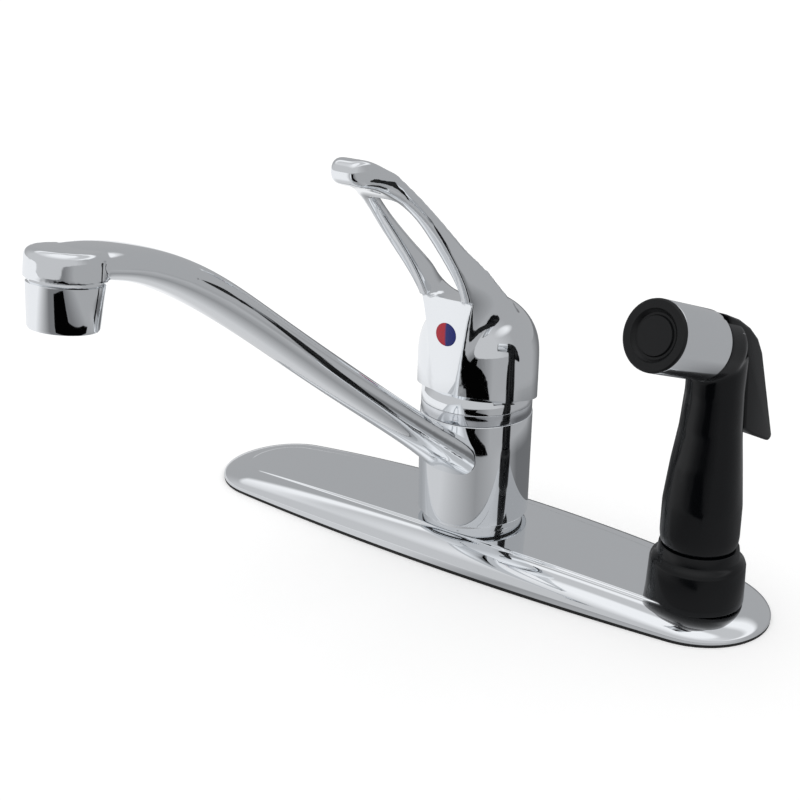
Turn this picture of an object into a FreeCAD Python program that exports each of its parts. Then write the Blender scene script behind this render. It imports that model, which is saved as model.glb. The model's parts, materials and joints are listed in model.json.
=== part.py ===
import FreeCAD, Part
import math
import os

V = FreeCAD.Vector

# Millimetres. Origin: the body's axis at the deck surface. +X runs to the side spray,
# -Y to the front, where the spout and the lever point at rest, and +Z up.

# ---------------------------------------------------------------- driving dimensions
# Deck and fixing
deck_thickness = 18.0            # sink deck that the hardware is drawn tightened on
hole_spacing = 101.6             # body axis to side spray axis, 4 inches
tube_radius = 4.7625             # 3/8 inch copper tails
tube_spread = 9.0
tube_drop = 110.0
tube_socket_depth = 18.0
tube_wall = 0.8
tube_neck_step = 0.66            # the brazed ends are necked down
tube_mouth = 1.0                 # depth of the wide mouth round each tail
spray_tube_y = 9.0
spray_tube_drop = 60.0
spray_tube_socket = 13.5
nipple_radius = 6.6
nipple_length = 14.0
nipple_overlap = 6.0
nipple_hex_height = 8.0
nipple_across_flats = 13.8
stud_radius = 3.0
stud_spread = 6.5
stud_y = -10.8
stud_drop = 42.0
stud_engagement = 6.2
pad_thickness = 2.0
bracket_thickness = 2.5
bracket_radius = 24.0
bracket_slot_room = 0.84         # between the tails and the bracket's slot
bracket_slot_front = -6.0
nut_across_flats = 10.0
nut_length = 10.0

# Deck plate
plate_end_margin = 30.4          # from the side spray's axis to the plate's end
plate_half_width = 34.0
plate_end_radius = 29.0
plate_top = 11.6                 # on the body's axis
plate_crown_drop = 4.1           # from there to the side spray's axis, along a gentle arch
plate_wall = 2.2
plate_roll = 9.5                 # radius of the edge that rolls over to the gasket
gasket_thickness = 1.0
gasket_width = 6.0
gasket_inset = 0.35

# Body stack
post_radius = 17.0
post_drop = 1.6                  # from the collar's top to the post's shoulder
neck_step = 1.0
neck_rise = 13.0
flange_reach = 7.0
base_ring_reach = 3.8
base_ring_height = 2.6
lower_glide_thickness = 0.6
lower_glide_reach = 4.8
collar_wall = 6.0
collar_top = 58.6
collar_edge = 0.8
upper_glide_inset = 0.3
upper_glide_thickness = 4.7
bonnet_inset = 0.4
bonnet_wall = 2.4
bonnet_rise = 19.0
bonnet_hole_inset = 3.0
water_groove_foot = 9.2          # above the lower glide ring
water_groove_drop = 11.0         # below the post's shoulder
water_groove_depth = 1.0
o_ring_foot = 3.7
o_ring_drop = 6.0
o_ring_section = 1.05
o_ring_groove_room = 0.25

# Cartridge
chamber_wall = 3.5
chamber_floor = 34.5
port_inset = 2.0                 # from each tail's axis towards the body's
port_radius = 2.6
outlet_port_y = -7.0
outlet_port_z = 29.0
seal_height = 2.4
seal_radius = 3.6
base_thickness = 2.8
disc_room = 1.9
disc_thickness = 2.4
moving_disc_radius = 7.6
moving_disc_thickness = 2.0
driver_thickness = 3.9
housing_wall = 1.5
housing_rise = 9.0
housing_lip = 1.5
housing_lip_reach = 1.3
carrier_gap = 0.6
carrier_slot_half_x = 4.2
carrier_slot_wall = 2.3
carrier_pin_radius = 1.5
cartridge_nut_thickness = 3.8

# Lever pivot and stem
lever_ball_radius = 2.4
driver_socket_floor = 0.6
lever_arm_radius = 1.9
lever_barrel_radius = 4.4
stem_half = 3.5
stem_rise = 44.0

# Diverter
diverter_radius = 3.6
diverter_floor = 15.2
diverter_spring_length = 4.0
diverter_piston_length = 5.0
diverter_plug_thickness = 3.2
diverter_stem_radius = 1.3
diverter_port_radius = 2.4

# Handle
skirt_wall = 1.5
skirt_rise = 10.3                # of the slanted lower edge above the pivot, at the body's axis
skirt_slant_deg = 11.1
dome_rise = 17.2                 # of the dome's centre above that edge
cap_gap = 0.4                    # between the bonnet and the inside of the handle
facet_inset = 0.4
lever_widths = ((8.0, 12.5), (-21.0, 12.9), (-40.0, 14.0), (-53.0, 14.0), (-63.0, 12.8),
                (-71.0, 11.2), (-79.0, 9.2), (-86.0, 6.4), (-90.5, 0.0))
# Side view of the lever, as (y, height above the dome's centre)
lever_top_line = ((8.0, 19.1), (-21.6, 40.7), (-40.0, 55.5), (-54.5, 67.7), (-64.5, 76.9),
                  (-73.0, 84.3), (-80.0, 89.4), (-86.0, 90.6), (-90.0, 88.4))
lever_under_line = ((-90.0, 83.2), (-86.0, 80.8), (-80.0, 79.4), (-74.0, 77.0), (-66.3, 72.1),
                    (-59.0, 65.7), (-47.6, 54.1), (-32.1, 36.1), (-25.1, 27.5))
slot_lower_y = -28.5
slot_upper_y = -66.0
slot_half_width = 8.8
slot_upper_half_width = 6.2
button_rise = 11.5
button_radius = 5.5
button_thickness = 1.6
set_screw_radius = 2.4
set_screw_length = 9.0

# Spout
spout_seam_y = -209.6
spout_seam_rise = 101.6          # above the collar's top
outlet_tilt_deg = 8.8
head_radius = 11.3
head_height = 8.0
head_edge = 2.0
waterway_radius = 3.6
# Arm stations: y, top and underside above the collar's top, half width of the section
arm_stations = ((-15.0, -7.4, -23.6, 12.4), (-24.0, -2.0, -18.6, 11.6), (-40.0, 8.9, -7.0, 9.9),
                (-60.0, 23.4, 8.2, 9.2), (-90.0, 45.2, 30.8, 9.0), (-120.0, 67.0, 53.2, 9.0),
                (-150.0, 88.6, 75.6, 9.3), (-170.0, 100.2, 88.8, 9.9), (-186.0, 106.2, 95.6, 10.5),
                (-202.0, 108.8, 100.0, 10.9))
# How far forward the channel through the arm turns
waterway_turns = (30.0, 60.0, 148.0, 184.0)

# Aerator
shell_top_radius = 10.75
shell_bottom_radius = 9.8
shell_length = 13.9
shell_wall = 1.4
shell_lip = 1.1
shell_lip_height = 1.2
spigot_length = 5.0
aerator_washer_thickness = 1.2
insert_room = 0.3                # below the screen
screen_thickness = 0.6

# Side spray holder
holder_base_radius = 19.2
holder_shoulder_radius = 17.4
holder_shoulder_height = 16.5
holder_rim_radius = 15.2
holder_height = 21.1             # above the plate on the side spray's axis
holder_ledge_height = 6.5
shank_radius = 13.0
shank_wall = 2.4
shank_drop = 36.0
holder_washer_radius = 22.0
holder_nut_radius = 19.0
holder_nut_height = 9.0
wing_reach = 27.0
wing_width = 5.0

# Side spray
spray_turn_deg = -11.5           # the spray's head points a little inwards at rest
spray_seat_z = 28.6              # the holder's top in the spray's own heights
tail_radius = 11.7
tail_length = 13.1
# Wand sections: height, radius, how far its centre lies ahead of the axis
wand_foot = (14.6, 0.4)
wand_sections = ((33.0, 14.9, 0.5), (46.0, 14.8, 0.8), (62.0, 13.2, 0.8),
                 (76.0, 11.5, 0.4), (90.0, 10.7, 0.2), (104.0, 10.9, 0.4))
head_pivot_z = 106.0
head_tilt_deg = 18.4
head_core_radius = 12.3
head_back = 1.0
band_start = 12.6
band_end = 40.6
band_radius = 12.85
band_wall = 1.7
face_thickness = 1.5
face_plug_length = 9.0
face_wall = 2.0
trigger_half_width = 7.4
trigger_room = 0.4
trigger_wall = 2.0
trigger_pin_radius = 1.4
trigger_pin_ahead = 0.9
trigger_pin_z = 112.9
# Side views of the trigger, its hollow and its pocket in the wand, as (ahead, height)
trigger_back = ((7.3, 121.4), (-0.7, 117.4), (-8.0, 112.6), (-13.4, 108.2), (-16.8, 103.4),
                (-20.8, 92.4), (-25.4, 81.0), (-30.2, 67.4), (-28.6, 65.2))
trigger_front = ((-10.6, 74.0), (-7.5, 100.6), (-5.0, 108.4), (0.5, 109.4), (4.2, 111.4), (5.4, 115.0))
trigger_hollow = ((-15.4, 96.0), (-18.4, 91.2), (-23.0, 80.2), (-27.4, 68.4), (-20.0, 64.0), (0.0, 64.0),
                  (0.0, 96.0))
trigger_pocket_line = ((8.1, 125.0), (5.9, 114.6), (4.8, 107.2), (-4.4, 107.2), (-4.4, 68.0), (-16.0, 62.0),
                       (-40.0, 62.0), (-40.0, 125.0))
head_slope_line = ((7.3, 121.4), (-13.4, 108.2), (-40.0, 91.0), (-40.0, 140.0), (7.3, 140.0))
plunger_z = 100.0
plunger_reach = 6.8              # of its free end behind the wand's axis
plunger_bore_end = 10.0
plunger_radius = 2.0
plunger_head_radius = 3.1
plunger_spring_length = 3.15     # drawn as short as the trigger presses it
valve_room_radius = 4.2
valve_room_front = 8.8
valve_room_back = 1.0
coupling_inset = 2.9             # inside the tail's own radius
coupling_grip_room = 0.6
coupling_grip_drop = 3.5         # below the tail
coupling_grip_length = 10.0
coupling_plug_length = 9.5
hose_thread_radius = 6.6
hose_thread_length = 8.0
hose_washer_radius = 7.0
hose_washer_room = 2.0
hose_bore_radius = 3.2
clip_rise = 2.1
clip_section = 0.6

# Clearances
press_gap = 0.03                 # parts pressed, screwed or brazed together
slide_gap = 0.1                  # faces that turn or slide on each other
running_gap = 0.3                # round parts that turn in each other with a seal between

# ---------------------------------------------------------------- worked-out places
seal_gap = 0.05
plate_half_length = hole_spacing + plate_end_margin
plate_crown_radius = (hole_spacing ** 2 + plate_crown_drop ** 2) / (2 * plate_crown_drop)
plate_ceiling = plate_top - plate_wall
tube_neck_radius = tube_radius - tube_neck_step
tube_socket_radius = tube_neck_radius + press_gap
under_deck = -deck_thickness
bracket_bottom = under_deck - pad_thickness - bracket_thickness
bracket_slot_half = tube_spread + tube_radius + bracket_slot_room

# Body stack, outwards from the post and upwards from the plate
neck_radius = post_radius - neck_step
flange_radius = post_radius + flange_reach
base_ring_radius = post_radius + base_ring_reach
lower_glide_radius = post_radius + lower_glide_reach
collar_bore = post_radius + running_gap
collar_radius = post_radius + collar_wall
upper_glide_radius = collar_radius - upper_glide_inset
bonnet_radius = collar_radius - bonnet_inset
bonnet_hole_radius = neck_radius - bonnet_hole_inset
o_ring_groove_depth = 2 * o_ring_section + 2 * seal_gap - running_gap
o_ring_groove_half = o_ring_section + o_ring_groove_room
base_ring_top = plate_top + base_ring_height
lower_glide_top = base_ring_top + lower_glide_thickness
collar_bottom = lower_glide_top + slide_gap
upper_glide_bottom = collar_top + slide_gap
upper_glide_top = upper_glide_bottom + upper_glide_thickness
bonnet_bottom = upper_glide_top + slide_gap
post_top = collar_top - post_drop
o_ring_heights = (lower_glide_top + o_ring_foot, post_top - o_ring_drop)
water_groove_low = lower_glide_top + water_groove_foot
water_groove_high = post_top - water_groove_drop
water_inlet_z = water_groove_high - 3.0
pivot_z = post_top
neck_top = pivot_z + neck_rise
bonnet_top = pivot_z + bonnet_rise

# Cartridge, upwards from the chamber's floor
chamber_radius = post_radius - chamber_wall
port_spread = tube_spread - port_inset
cartridge_base_bottom = chamber_floor + 0.8
cartridge_base_top = cartridge_base_bottom + base_thickness
fixed_disc_top = cartridge_base_top + slide_gap + disc_thickness
moving_disc_bottom = fixed_disc_top + slide_gap
driver_bottom = moving_disc_bottom + moving_disc_thickness + slide_gap
driver_top = driver_bottom + driver_thickness
disc_radius = chamber_radius - disc_room
housing_radius = chamber_radius - slide_gap
housing_bore = housing_radius - housing_wall
housing_top = pivot_z + housing_rise
housing_lip_radius = housing_bore - housing_lip_reach
carrier_bottom = driver_top + carrier_gap
carrier_top = housing_top - housing_lip - slide_gap
carrier_radius = housing_bore - 0.2
carrier_slot_half_y = carrier_radius - carrier_slot_wall
lever_ball_z = driver_bottom + driver_socket_floor + 0.2 + lever_ball_radius
stem_top = pivot_z + stem_rise

# Handle: the bonnet's dome stays inside the circle that the skirt's edge sweeps about the pivot
skirt_bore = bonnet_radius + cap_gap
skirt_radius = skirt_bore + skirt_wall
skirt_height = pivot_z + skirt_rise
skirt_slope = math.tan(math.radians(skirt_slant_deg))
dome_inside_radius = math.hypot(skirt_bore, skirt_rise + 0.2)
bonnet_dome_radius = dome_inside_radius - cap_gap
dome_centre_z = skirt_height + dome_rise
facet_y = facet_inset - skirt_radius
button_z = dome_centre_z + button_rise
lever_top = [(y, dome_centre_z + rise) for y, rise in lever_top_line]
lever_under = [(y, dome_centre_z + rise) for y, rise in lever_under_line]

# Diverter
piston_bottom = diverter_floor + seal_gap + diverter_spring_length + seal_gap
piston_top = piston_bottom + diverter_piston_length
diverter_plug_top = chamber_floor - slide_gap
diverter_plug_bottom = diverter_plug_top - diverter_plug_thickness
diverter_port_z = (piston_top + diverter_plug_bottom) / 2

# Spout
spout_seam_z = collar_top + spout_seam_rise
arm_places = [(y, collar_top + top, collar_top + under, half) for y, top, under, half in arm_stations]
shell_bore = shell_bottom_radius - shell_wall
insert_top = -spigot_length - aerator_washer_thickness - 0.15
insert_length = shell_length - shell_lip_height - insert_room - screen_thickness - seal_gap + insert_top

# Side spray and its holder; the spray's own heights are moved so that it sits on the holder's top
shank_hole_radius = shank_radius + 0.3
holder_bore_radius = shank_radius - shank_wall
holder_cup_radius = tail_radius + 0.5
holder_seat_z = plate_top - plate_crown_drop
holder_shoulder_z = holder_seat_z + holder_shoulder_height
holder_top = holder_seat_z + holder_height
holder_ledge_z = holder_seat_z + holder_ledge_height
spray_lift = holder_top - spray_seat_z
wand_bottom = spray_seat_z + slide_gap
tail_bottom = spray_seat_z - tail_length
coupling_radius = tail_radius - coupling_inset
coupling_socket_radius = coupling_radius + slide_gap
coupling_grip_radius = holder_bore_radius - coupling_grip_room
coupling_grip_top = tail_bottom - coupling_grip_drop
coupling_bottom = coupling_grip_top - coupling_grip_length
coupling_top = tail_bottom + coupling_plug_length
clip_height = tail_bottom + clip_rise


# ---------------------------------------------------------------- small helpers
def cylinder(radius, low, high, x=0.0, y=0.0):
    return Part.makeCylinder(radius, high - low, V(x, y, low))


def tube(outer, inner, low, high, x=0.0, y=0.0):
    return cylinder(outer, low, high, x, y).cut(cylinder(inner, low - 1.0, high + 1.0, x, y))


def rod(start, end, radius):
    """A cylinder between two points."""
    run = end.sub(start)
    return Part.makeCylinder(radius, run.Length, start, run)


def box(x0, x1, y0, y1, z0, z1):
    return Part.makeBox(x1 - x0, y1 - y0, z1 - z0, V(x0, y0, z0))


def turned(profile, x=0.0, y=0.0):
    """A solid of revolution about a vertical axis; profile is a list of (radius, height)."""
    points = [V(x + r, y, z) for r, z in profile]
    face = Part.Face(Part.makePolygon(points + [points[0]]))
    return face.revolve(V(x, y, 0), V(0, 0, 1), 360)


def ring_seal(centre_radius, section, height, x=0.0, y=0.0):
    return Part.makeTorus(centre_radius, section, V(x, y, height))


def side_slab(points, x0, x1):
    """A slab between two x places whose side view is the polygon of (y, z) points."""
    ring = [V(x0, y, z) for y, z in points]
    face = Part.Face(Part.makePolygon(ring + [ring[0]]))
    return face.extrude(V(x1 - x0, 0, 0))


def group(shapes):
    return shapes[0] if len(shapes) == 1 else Part.makeCompound(shapes)


# ---------------------------------------------------------------- deck plate
def plate_outline(inset, z):
    """The plate's outline, offset inwards: two gently bowed sides and two round ends."""
    length = plate_half_length - inset
    width = plate_half_width - inset
    end = plate_end_radius - inset
    side = ((length - end) ** 2 + width ** 2 - end ** 2) / (2 * (width - end))
    centre_y = side - width
    end_x = length - end
    reach = math.hypot(end_x, centre_y)
    meet_x = end_x * side / reach
    meet_y = centre_y - centre_y * side / reach
    front = Part.Arc(V(-meet_x, meet_y, z), V(0, -width, z), V(meet_x, meet_y, z))
    right = Part.Arc(V(meet_x, meet_y, z), V(length, 0, z), V(meet_x, -meet_y, z))
    back = Part.Arc(V(meet_x, -meet_y, z), V(0, width, z), V(-meet_x, -meet_y, z))
    left = Part.Arc(V(-meet_x, -meet_y, z), V(-length, 0, z), V(-meet_x, meet_y, z))
    return Part.Wire([arc.toShape() for arc in (front, right, back, left)])


def plate_block(inset, low, high):
    return Part.Face(plate_outline(inset, low)).extrude(V(0, 0, high - low))


def round_top(solid, height, radius):
    edges = [e for e in solid.Edges if all(abs(v.Z - height) < 1e-6 for v in e.Vertexes)]
    return solid.makeFillet(radius, edges)


def crown_drop(x):
    """How far the arched top lies below its middle."""
    return plate_crown_radius - math.sqrt(plate_crown_radius ** 2 - x ** 2)


def under_arch(top, low):
    """Everything under an arch along the plate, down to a level."""
    reach = plate_half_length + 1.0
    side = plate_half_width + 1.0
    foot = top - crown_drop(reach)
    arch = Part.Arc(V(-reach, -side, foot), V(0, -side, top), V(reach, -side, foot)).toShape()
    rest = Part.makePolygon([V(reach, -side, foot), V(reach, -side, low), V(-reach, -side, low),
                             V(-reach, -side, foot)])
    return Part.Face(Part.Wire([arch] + rest.Edges)).extrude(V(0, 2 * side, 0))


def arched_block(inset, top):
    """A block with the plate's outline under the arched top, its upper edge rolled over."""
    block = plate_block(inset, -plate_roll, top + 1.0).common(under_arch(top, -plate_roll))
    rim = [edge for edge in block.Edges if edge.BoundBox.ZMin > 0]
    return block.makeFillet(plate_roll - inset, rim)


def plate_outside():
    reach = plate_half_length + 1.0
    above = box(-reach, reach, -reach, reach, gasket_thickness, plate_top + 1.0)
    return arched_block(0.0, plate_top).common(above)


def deck_plate():
    shell = plate_outside().cut(arched_block(plate_wall, plate_ceiling))
    shell = shell.cut(cylinder(post_radius + 0.2, 0.0, plate_top + 1.0))
    return shell.cut(cylinder(shank_hole_radius, 0.0, plate_top + 1.0, hole_spacing))


def deck_gasket():
    outer = plate_block(gasket_inset, 0.0, gasket_thickness)
    return outer.cut(plate_block(gasket_inset + gasket_width, -1.0, gasket_thickness + 1.0))


# ---------------------------------------------------------------- body stack
def base_ring():
    """Its foot follows the plate's arch."""
    low = plate_top - crown_drop(base_ring_radius)
    return tube(base_ring_radius, post_radius + 0.2, low, base_ring_top).cut(plate_outside())


def lower_glide_ring():
    return tube(lower_glide_radius, post_radius + running_gap, base_ring_top, lower_glide_top)


def o_ring_floor():
    return post_radius - o_ring_groove_depth


def valve_body():
    body = cylinder(flange_radius, 0.0, plate_ceiling - crown_drop(flange_radius) - slide_gap)
    body = body.fuse(cylinder(post_radius, 0.0, post_top))
    body = body.fuse(cylinder(neck_radius, post_top - 1.0, neck_top))
    body = body.cut(cylinder(chamber_radius, chamber_floor, neck_top + 1.0))
    for height in o_ring_heights:
        low = height - o_ring_groove_half
        high = height + o_ring_groove_half
        body = body.cut(tube(post_radius + 1.0, o_ring_floor(), low, high))
    groove = post_radius - water_groove_depth
    body = body.cut(tube(post_radius + 1.0, groove, water_groove_low, water_groove_high))
    for x, y in ((-tube_spread, 0.0), (tube_spread, 0.0), (0.0, spray_tube_y)):
        body = body.cut(cylinder(tube_radius + press_gap, -1.0, tube_mouth, x, y))
    for side in (-1, 1):
        body = body.cut(cylinder(tube_socket_radius, -1.0, tube_socket_depth, side * tube_spread))
        low = tube_socket_depth - 1.0
        body = body.cut(cylinder(port_radius, low, chamber_floor + 1.0, side * port_spread))
        end = stud_engagement + 0.3
        body = body.cut(cylinder(stud_radius + press_gap, -1.0, end, side * stud_spread, stud_y))
    body = body.cut(cylinder(port_radius, outlet_port_z, chamber_floor + 1.0, 0.0, outlet_port_y))
    outlet_end = V(0, -post_radius - 1.0, outlet_port_z)
    body = body.cut(rod(V(0, outlet_port_y + 1.0, outlet_port_z), outlet_end, port_radius))
    body = body.cut(cylinder(tube_socket_radius, -1.0, spray_tube_socket, 0.0, spray_tube_y))
    low = spray_tube_socket - 1.0
    body = body.cut(cylinder(diverter_port_radius, low, diverter_floor + 1.0, 0.0, spray_tube_y))
    body = body.cut(cylinder(diverter_radius, diverter_floor, chamber_floor + 1.0, 0.0, spray_tube_y))
    port_end = V(0, post_radius + 1.0, diverter_port_z)
    return body.cut(rod(V(0, spray_tube_y, diverter_port_z), port_end, diverter_port_radius))


def spout_o_rings():
    centre = o_ring_floor() + o_ring_section + seal_gap
    return group([ring_seal(centre, o_ring_section, height) for height in o_ring_heights])


def upper_glide_ring():
    return tube(upper_glide_radius, neck_radius + 0.2, upper_glide_bottom, upper_glide_top)


def dome_start_z():
    return pivot_z + math.sqrt(bonnet_dome_radius ** 2 - bonnet_radius ** 2)


def bonnet():
    ball = Part.makeSphere(bonnet_dome_radius, V(0, 0, pivot_z))
    cap = ball.common(cylinder(bonnet_radius, dome_start_z() - 0.5, bonnet_top))
    shell = cylinder(bonnet_radius, bonnet_bottom, dome_start_z()).fuse(cap)
    shell = shell.cut(cylinder(neck_radius + press_gap, bonnet_bottom - 1.0, neck_top + slide_gap))
    room = Part.makeSphere(bonnet_dome_radius - bonnet_wall, V(0, 0, pivot_z))
    room = room.common(cylinder(bonnet_radius, neck_top, bonnet_top + 5.0))
    shell = shell.cut(room)
    return shell.cut(cylinder(bonnet_hole_radius, neck_top, bonnet_top + 1.0))


# ---------------------------------------------------------------- cartridge
def port_places():
    return ((-port_spread, 0.0), (port_spread, 0.0), (0.0, outlet_port_y))


def cartridge_seals():
    seals = []
    for x, y in port_places():
        high = chamber_floor + seal_height
        seals.append(tube(seal_radius - seal_gap, port_radius, chamber_floor, high, x, y))
    return group(seals)


def cartridge_base():
    base = cylinder(housing_radius, cartridge_base_bottom, cartridge_base_top)
    for x, y in port_places():
        base = base.cut(cylinder(seal_radius, chamber_floor, chamber_floor + seal_height, x, y))
        base = base.cut(cylinder(port_radius - 0.4, chamber_floor, cartridge_base_top + 1.0, x, y))
    return base


def fixed_disc():
    disc = cylinder(disc_radius, cartridge_base_top + slide_gap, fixed_disc_top)
    for x, y in port_places():
        disc = disc.cut(cylinder(port_radius - 0.4, cartridge_base_top, fixed_disc_top + 1.0, x, y))
    return disc


def moving_disc():
    high = moving_disc_bottom + moving_disc_thickness
    disc = cylinder(moving_disc_radius, moving_disc_bottom, high)
    hollow = cylinder(moving_disc_radius - 2.4, moving_disc_bottom - 1.0, moving_disc_bottom + 1.2)
    return disc.cut(hollow)


def disc_driver():
    driver = cylinder(moving_disc_radius, driver_bottom, driver_top)
    socket = cylinder(lever_ball_radius + 0.3, lever_ball_z - lever_ball_radius - 0.2, driver_top + 1.0)
    return driver.cut(socket)


def cartridge_housing():
    housing = cylinder(housing_radius, cartridge_base_top + slide_gap, housing_top)
    housing = housing.cut(cylinder(housing_bore, cartridge_base_top, housing_top - housing_lip))
    return housing.cut(cylinder(housing_lip_radius, housing_top - housing_lip - 1.0, housing_top + 1.0))


def lever_carrier():
    carrier = cylinder(carrier_radius, carrier_bottom, carrier_top)
    slot = box(-carrier_slot_half_x, carrier_slot_half_x, -carrier_slot_half_y, carrier_slot_half_y,
               carrier_bottom - 1.0, carrier_top + 1.0)
    carrier = carrier.cut(slot)
    reach = carrier_radius + 1.0
    return carrier.cut(rod(V(-reach, 0, pivot_z), V(reach, 0, pivot_z), carrier_pin_radius + press_gap))


def carrier_pin():
    reach = carrier_radius - 0.3
    return rod(V(-reach, 0, pivot_z), V(reach, 0, pivot_z), carrier_pin_radius)


def cartridge_lever():
    half = carrier_slot_half_x - 0.2
    barrel = rod(V(-half, 0, pivot_z), V(half, 0, pivot_z), lever_barrel_radius)
    stem = box(-stem_half, stem_half, -stem_half, stem_half, pivot_z, stem_top)
    arm = cylinder(lever_arm_radius, lever_ball_z, pivot_z)
    ball = Part.makeSphere(lever_ball_radius, V(0, 0, lever_ball_z))
    lever = barrel.fuse([stem, arm, ball])
    return lever.cut(rod(V(-half - 1, 0, pivot_z), V(half + 1, 0, pivot_z), carrier_pin_radius + 0.08))


def cartridge_nut():
    low = housing_top + slide_gap
    return tube(chamber_radius - slide_gap, housing_lip_radius + 0.1, low, low + cartridge_nut_thickness)


# ---------------------------------------------------------------- diverter
def diverter_plug():
    plug = cylinder(diverter_radius - press_gap, diverter_plug_bottom, diverter_plug_top, 0.0, spray_tube_y)
    stem = cylinder(diverter_stem_radius, piston_top + slide_gap, diverter_plug_top, 0.0, spray_tube_y)
    return plug.fuse(stem)


def piston_waist():
    """The ends of the groove that the piston's seal sits in."""
    middle = (piston_bottom + piston_top) / 2
    return middle - 0.9, middle + 0.9


def diverter_piston():
    low, high = piston_waist()
    piston = cylinder(diverter_radius - 0.2, piston_bottom, piston_top, 0.0, spray_tube_y)
    return piston.cut(tube(diverter_radius + 1.0, diverter_radius - 1.5, low, high, 0.0, spray_tube_y))


def diverter_seal():
    low, high = piston_waist()
    inner = diverter_radius - 1.5 + seal_gap
    return tube(diverter_radius - 0.1, inner, low + seal_gap, high - seal_gap, 0.0, spray_tube_y)


def coil(radius, wire, length, turns, start, direction):
    """A helical spring of round wire that starts at a point and runs along a direction."""
    steps = 12 * turns
    points = []
    for step in range(steps + 1):
        turn = math.pi * step / 6
        height = wire + (length - 2 * wire) * step / steps
        points.append(V(radius * math.cos(turn), radius * math.sin(turn), height))
    path = Part.BSplineCurve()
    path.interpolate(points)
    along = path.tangent(path.FirstParameter)[0]
    section = Part.Wire(Part.makeCircle(wire, points[0], along))
    spring = Part.Wire(path.toShape()).makePipeShell([section], True, True)
    spring.Placement = FreeCAD.Placement(start, FreeCAD.Rotation(V(0, 0, 1), direction))
    return spring


def diverter_spring():
    start = V(0, spray_tube_y, diverter_floor + seal_gap)
    return coil(2.4, 0.3, diverter_spring_length, 3, start, V(0, 0, 1))


# ---------------------------------------------------------------- under the deck
def copper_tail(x, y, low, high, wide_low, bore_low):
    """A copper tube, necked down where it is brazed into the body and into a nipple."""
    tail = cylinder(tube_neck_radius, low, high, x, y)
    tail = tail.fuse(cylinder(tube_radius, wide_low, 0.0, x, y))
    tail = tail.cut(cylinder(tube_radius - tube_wall, bore_low, -2.0, x, y))
    return tail.cut(cylinder(tube_neck_radius - tube_wall, low - 1.0, high + 1.0, x, y))


def supply_tail(side):
    high = tube_socket_depth - slide_gap
    return copper_tail(side * tube_spread, 0.0, -tube_drop, high, -tube_drop, -tube_drop - 1.0)


def spray_outlet_tube():
    wide_low = -spray_tube_drop + nipple_overlap
    high = spray_tube_socket - slide_gap
    return copper_tail(0.0, spray_tube_y, -spray_tube_drop, high, wide_low, wide_low + tube_wall)


def spray_outlet_nipple():
    low = -spray_tube_drop - nipple_length
    high = -spray_tube_drop + nipple_overlap
    step = high - nipple_hex_height
    body = cylinder(nipple_radius, low, step, 0.0, spray_tube_y)
    body = body.fuse(hexagon(nipple_across_flats, step, high, 0.0, spray_tube_y))
    body = body.cut(cylinder(tube_neck_radius - tube_wall, low - 1.0, high + 1.0, 0.0, spray_tube_y))
    return body.cut(cylinder(tube_socket_radius, -spray_tube_drop, high + 1.0, 0.0, spray_tube_y))


def hexagon(across_flats, low, high, x=0.0, y=0.0):
    corner = across_flats / math.sqrt(3)
    points = []
    for step in range(7):
        turn = math.radians(60 * step)
        points.append(V(x + corner * math.cos(turn), y + corner * math.sin(turn), low))
    return Part.Face(Part.makePolygon(points)).extrude(V(0, 0, high - low))


def stud_places():
    return ((-stud_spread, stud_y), (stud_spread, stud_y))


def mounting_studs():
    return group([cylinder(stud_radius, -stud_drop, stud_engagement, x, y) for x, y in stud_places()])


def horseshoe(low, high):
    plate = cylinder(bracket_radius, low, high)
    half = bracket_slot_half
    plate = plate.cut(box(-half, half, bracket_slot_front, bracket_radius + 1, low - 1, high + 1))
    for x, y in stud_places():
        plate = plate.cut(cylinder(stud_radius + 0.3, low - 1, high + 1, x, y))
    return plate


def mounting_pad():
    return horseshoe(under_deck - pad_thickness, under_deck)


def mounting_bracket():
    return horseshoe(bracket_bottom, under_deck - pad_thickness)


def mounting_nuts():
    nuts = []
    for x, y in stud_places():
        nut = hexagon(nut_across_flats, bracket_bottom - nut_length, bracket_bottom, x, y)
        nuts.append(nut.cut(cylinder(stud_radius + press_gap, bracket_bottom - nut_length - 1, 0, x, y)))
    return group(nuts)


# ---------------------------------------------------------------- spout
def signed_power(value, power):
    return math.copysign(abs(value) ** power, value)


def arm_section(y, top, under, half_width):
    """A loaf-shaped section: round on top, flatter underneath, widest below the middle."""
    middle = under + 0.4 * (top - under)
    points = []
    for step in range(20):
        turn = math.radians(18 * step)
        across = math.cos(turn)
        rise = math.sin(turn)
        if rise >= 0:
            x = half_width * signed_power(across, 0.86)
            z = middle + (top - middle) * rise ** 0.86
        else:
            x = half_width * signed_power(across, 0.62)
            z = middle - (middle - under) * (-rise) ** 0.62
        points.append(V(x, y, z))
    curve = Part.BSplineCurve()
    curve.interpolate(points, True)
    return Part.Wire([curve.toShape()])


def outlet_frame():
    """The outlet's own frame: its axis leans back at the top, its origin is the seam's centre."""
    lean = FreeCAD.Rotation(V(1, 0, 0), -outlet_tilt_deg)
    return FreeCAD.Placement(V(0, spout_seam_y, spout_seam_z), lean)


def at_outlet(shape):
    shape = shape.copy()
    shape.Placement = outlet_frame().multiply(shape.Placement)
    return shape


def arm_middle(y):
    for near, far in zip(arm_places, arm_places[1:]):
        if far[0] <= y <= near[0]:
            share = (near[0] - y) / (near[0] - far[0])
            near_z = (near[1] + near[2]) / 2
            far_z = (far[1] + far[2]) / 2
            return V(0, y, near_z + share * (far_z - near_z))
    return V(0, y, arm_places[-1][2])


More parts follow.
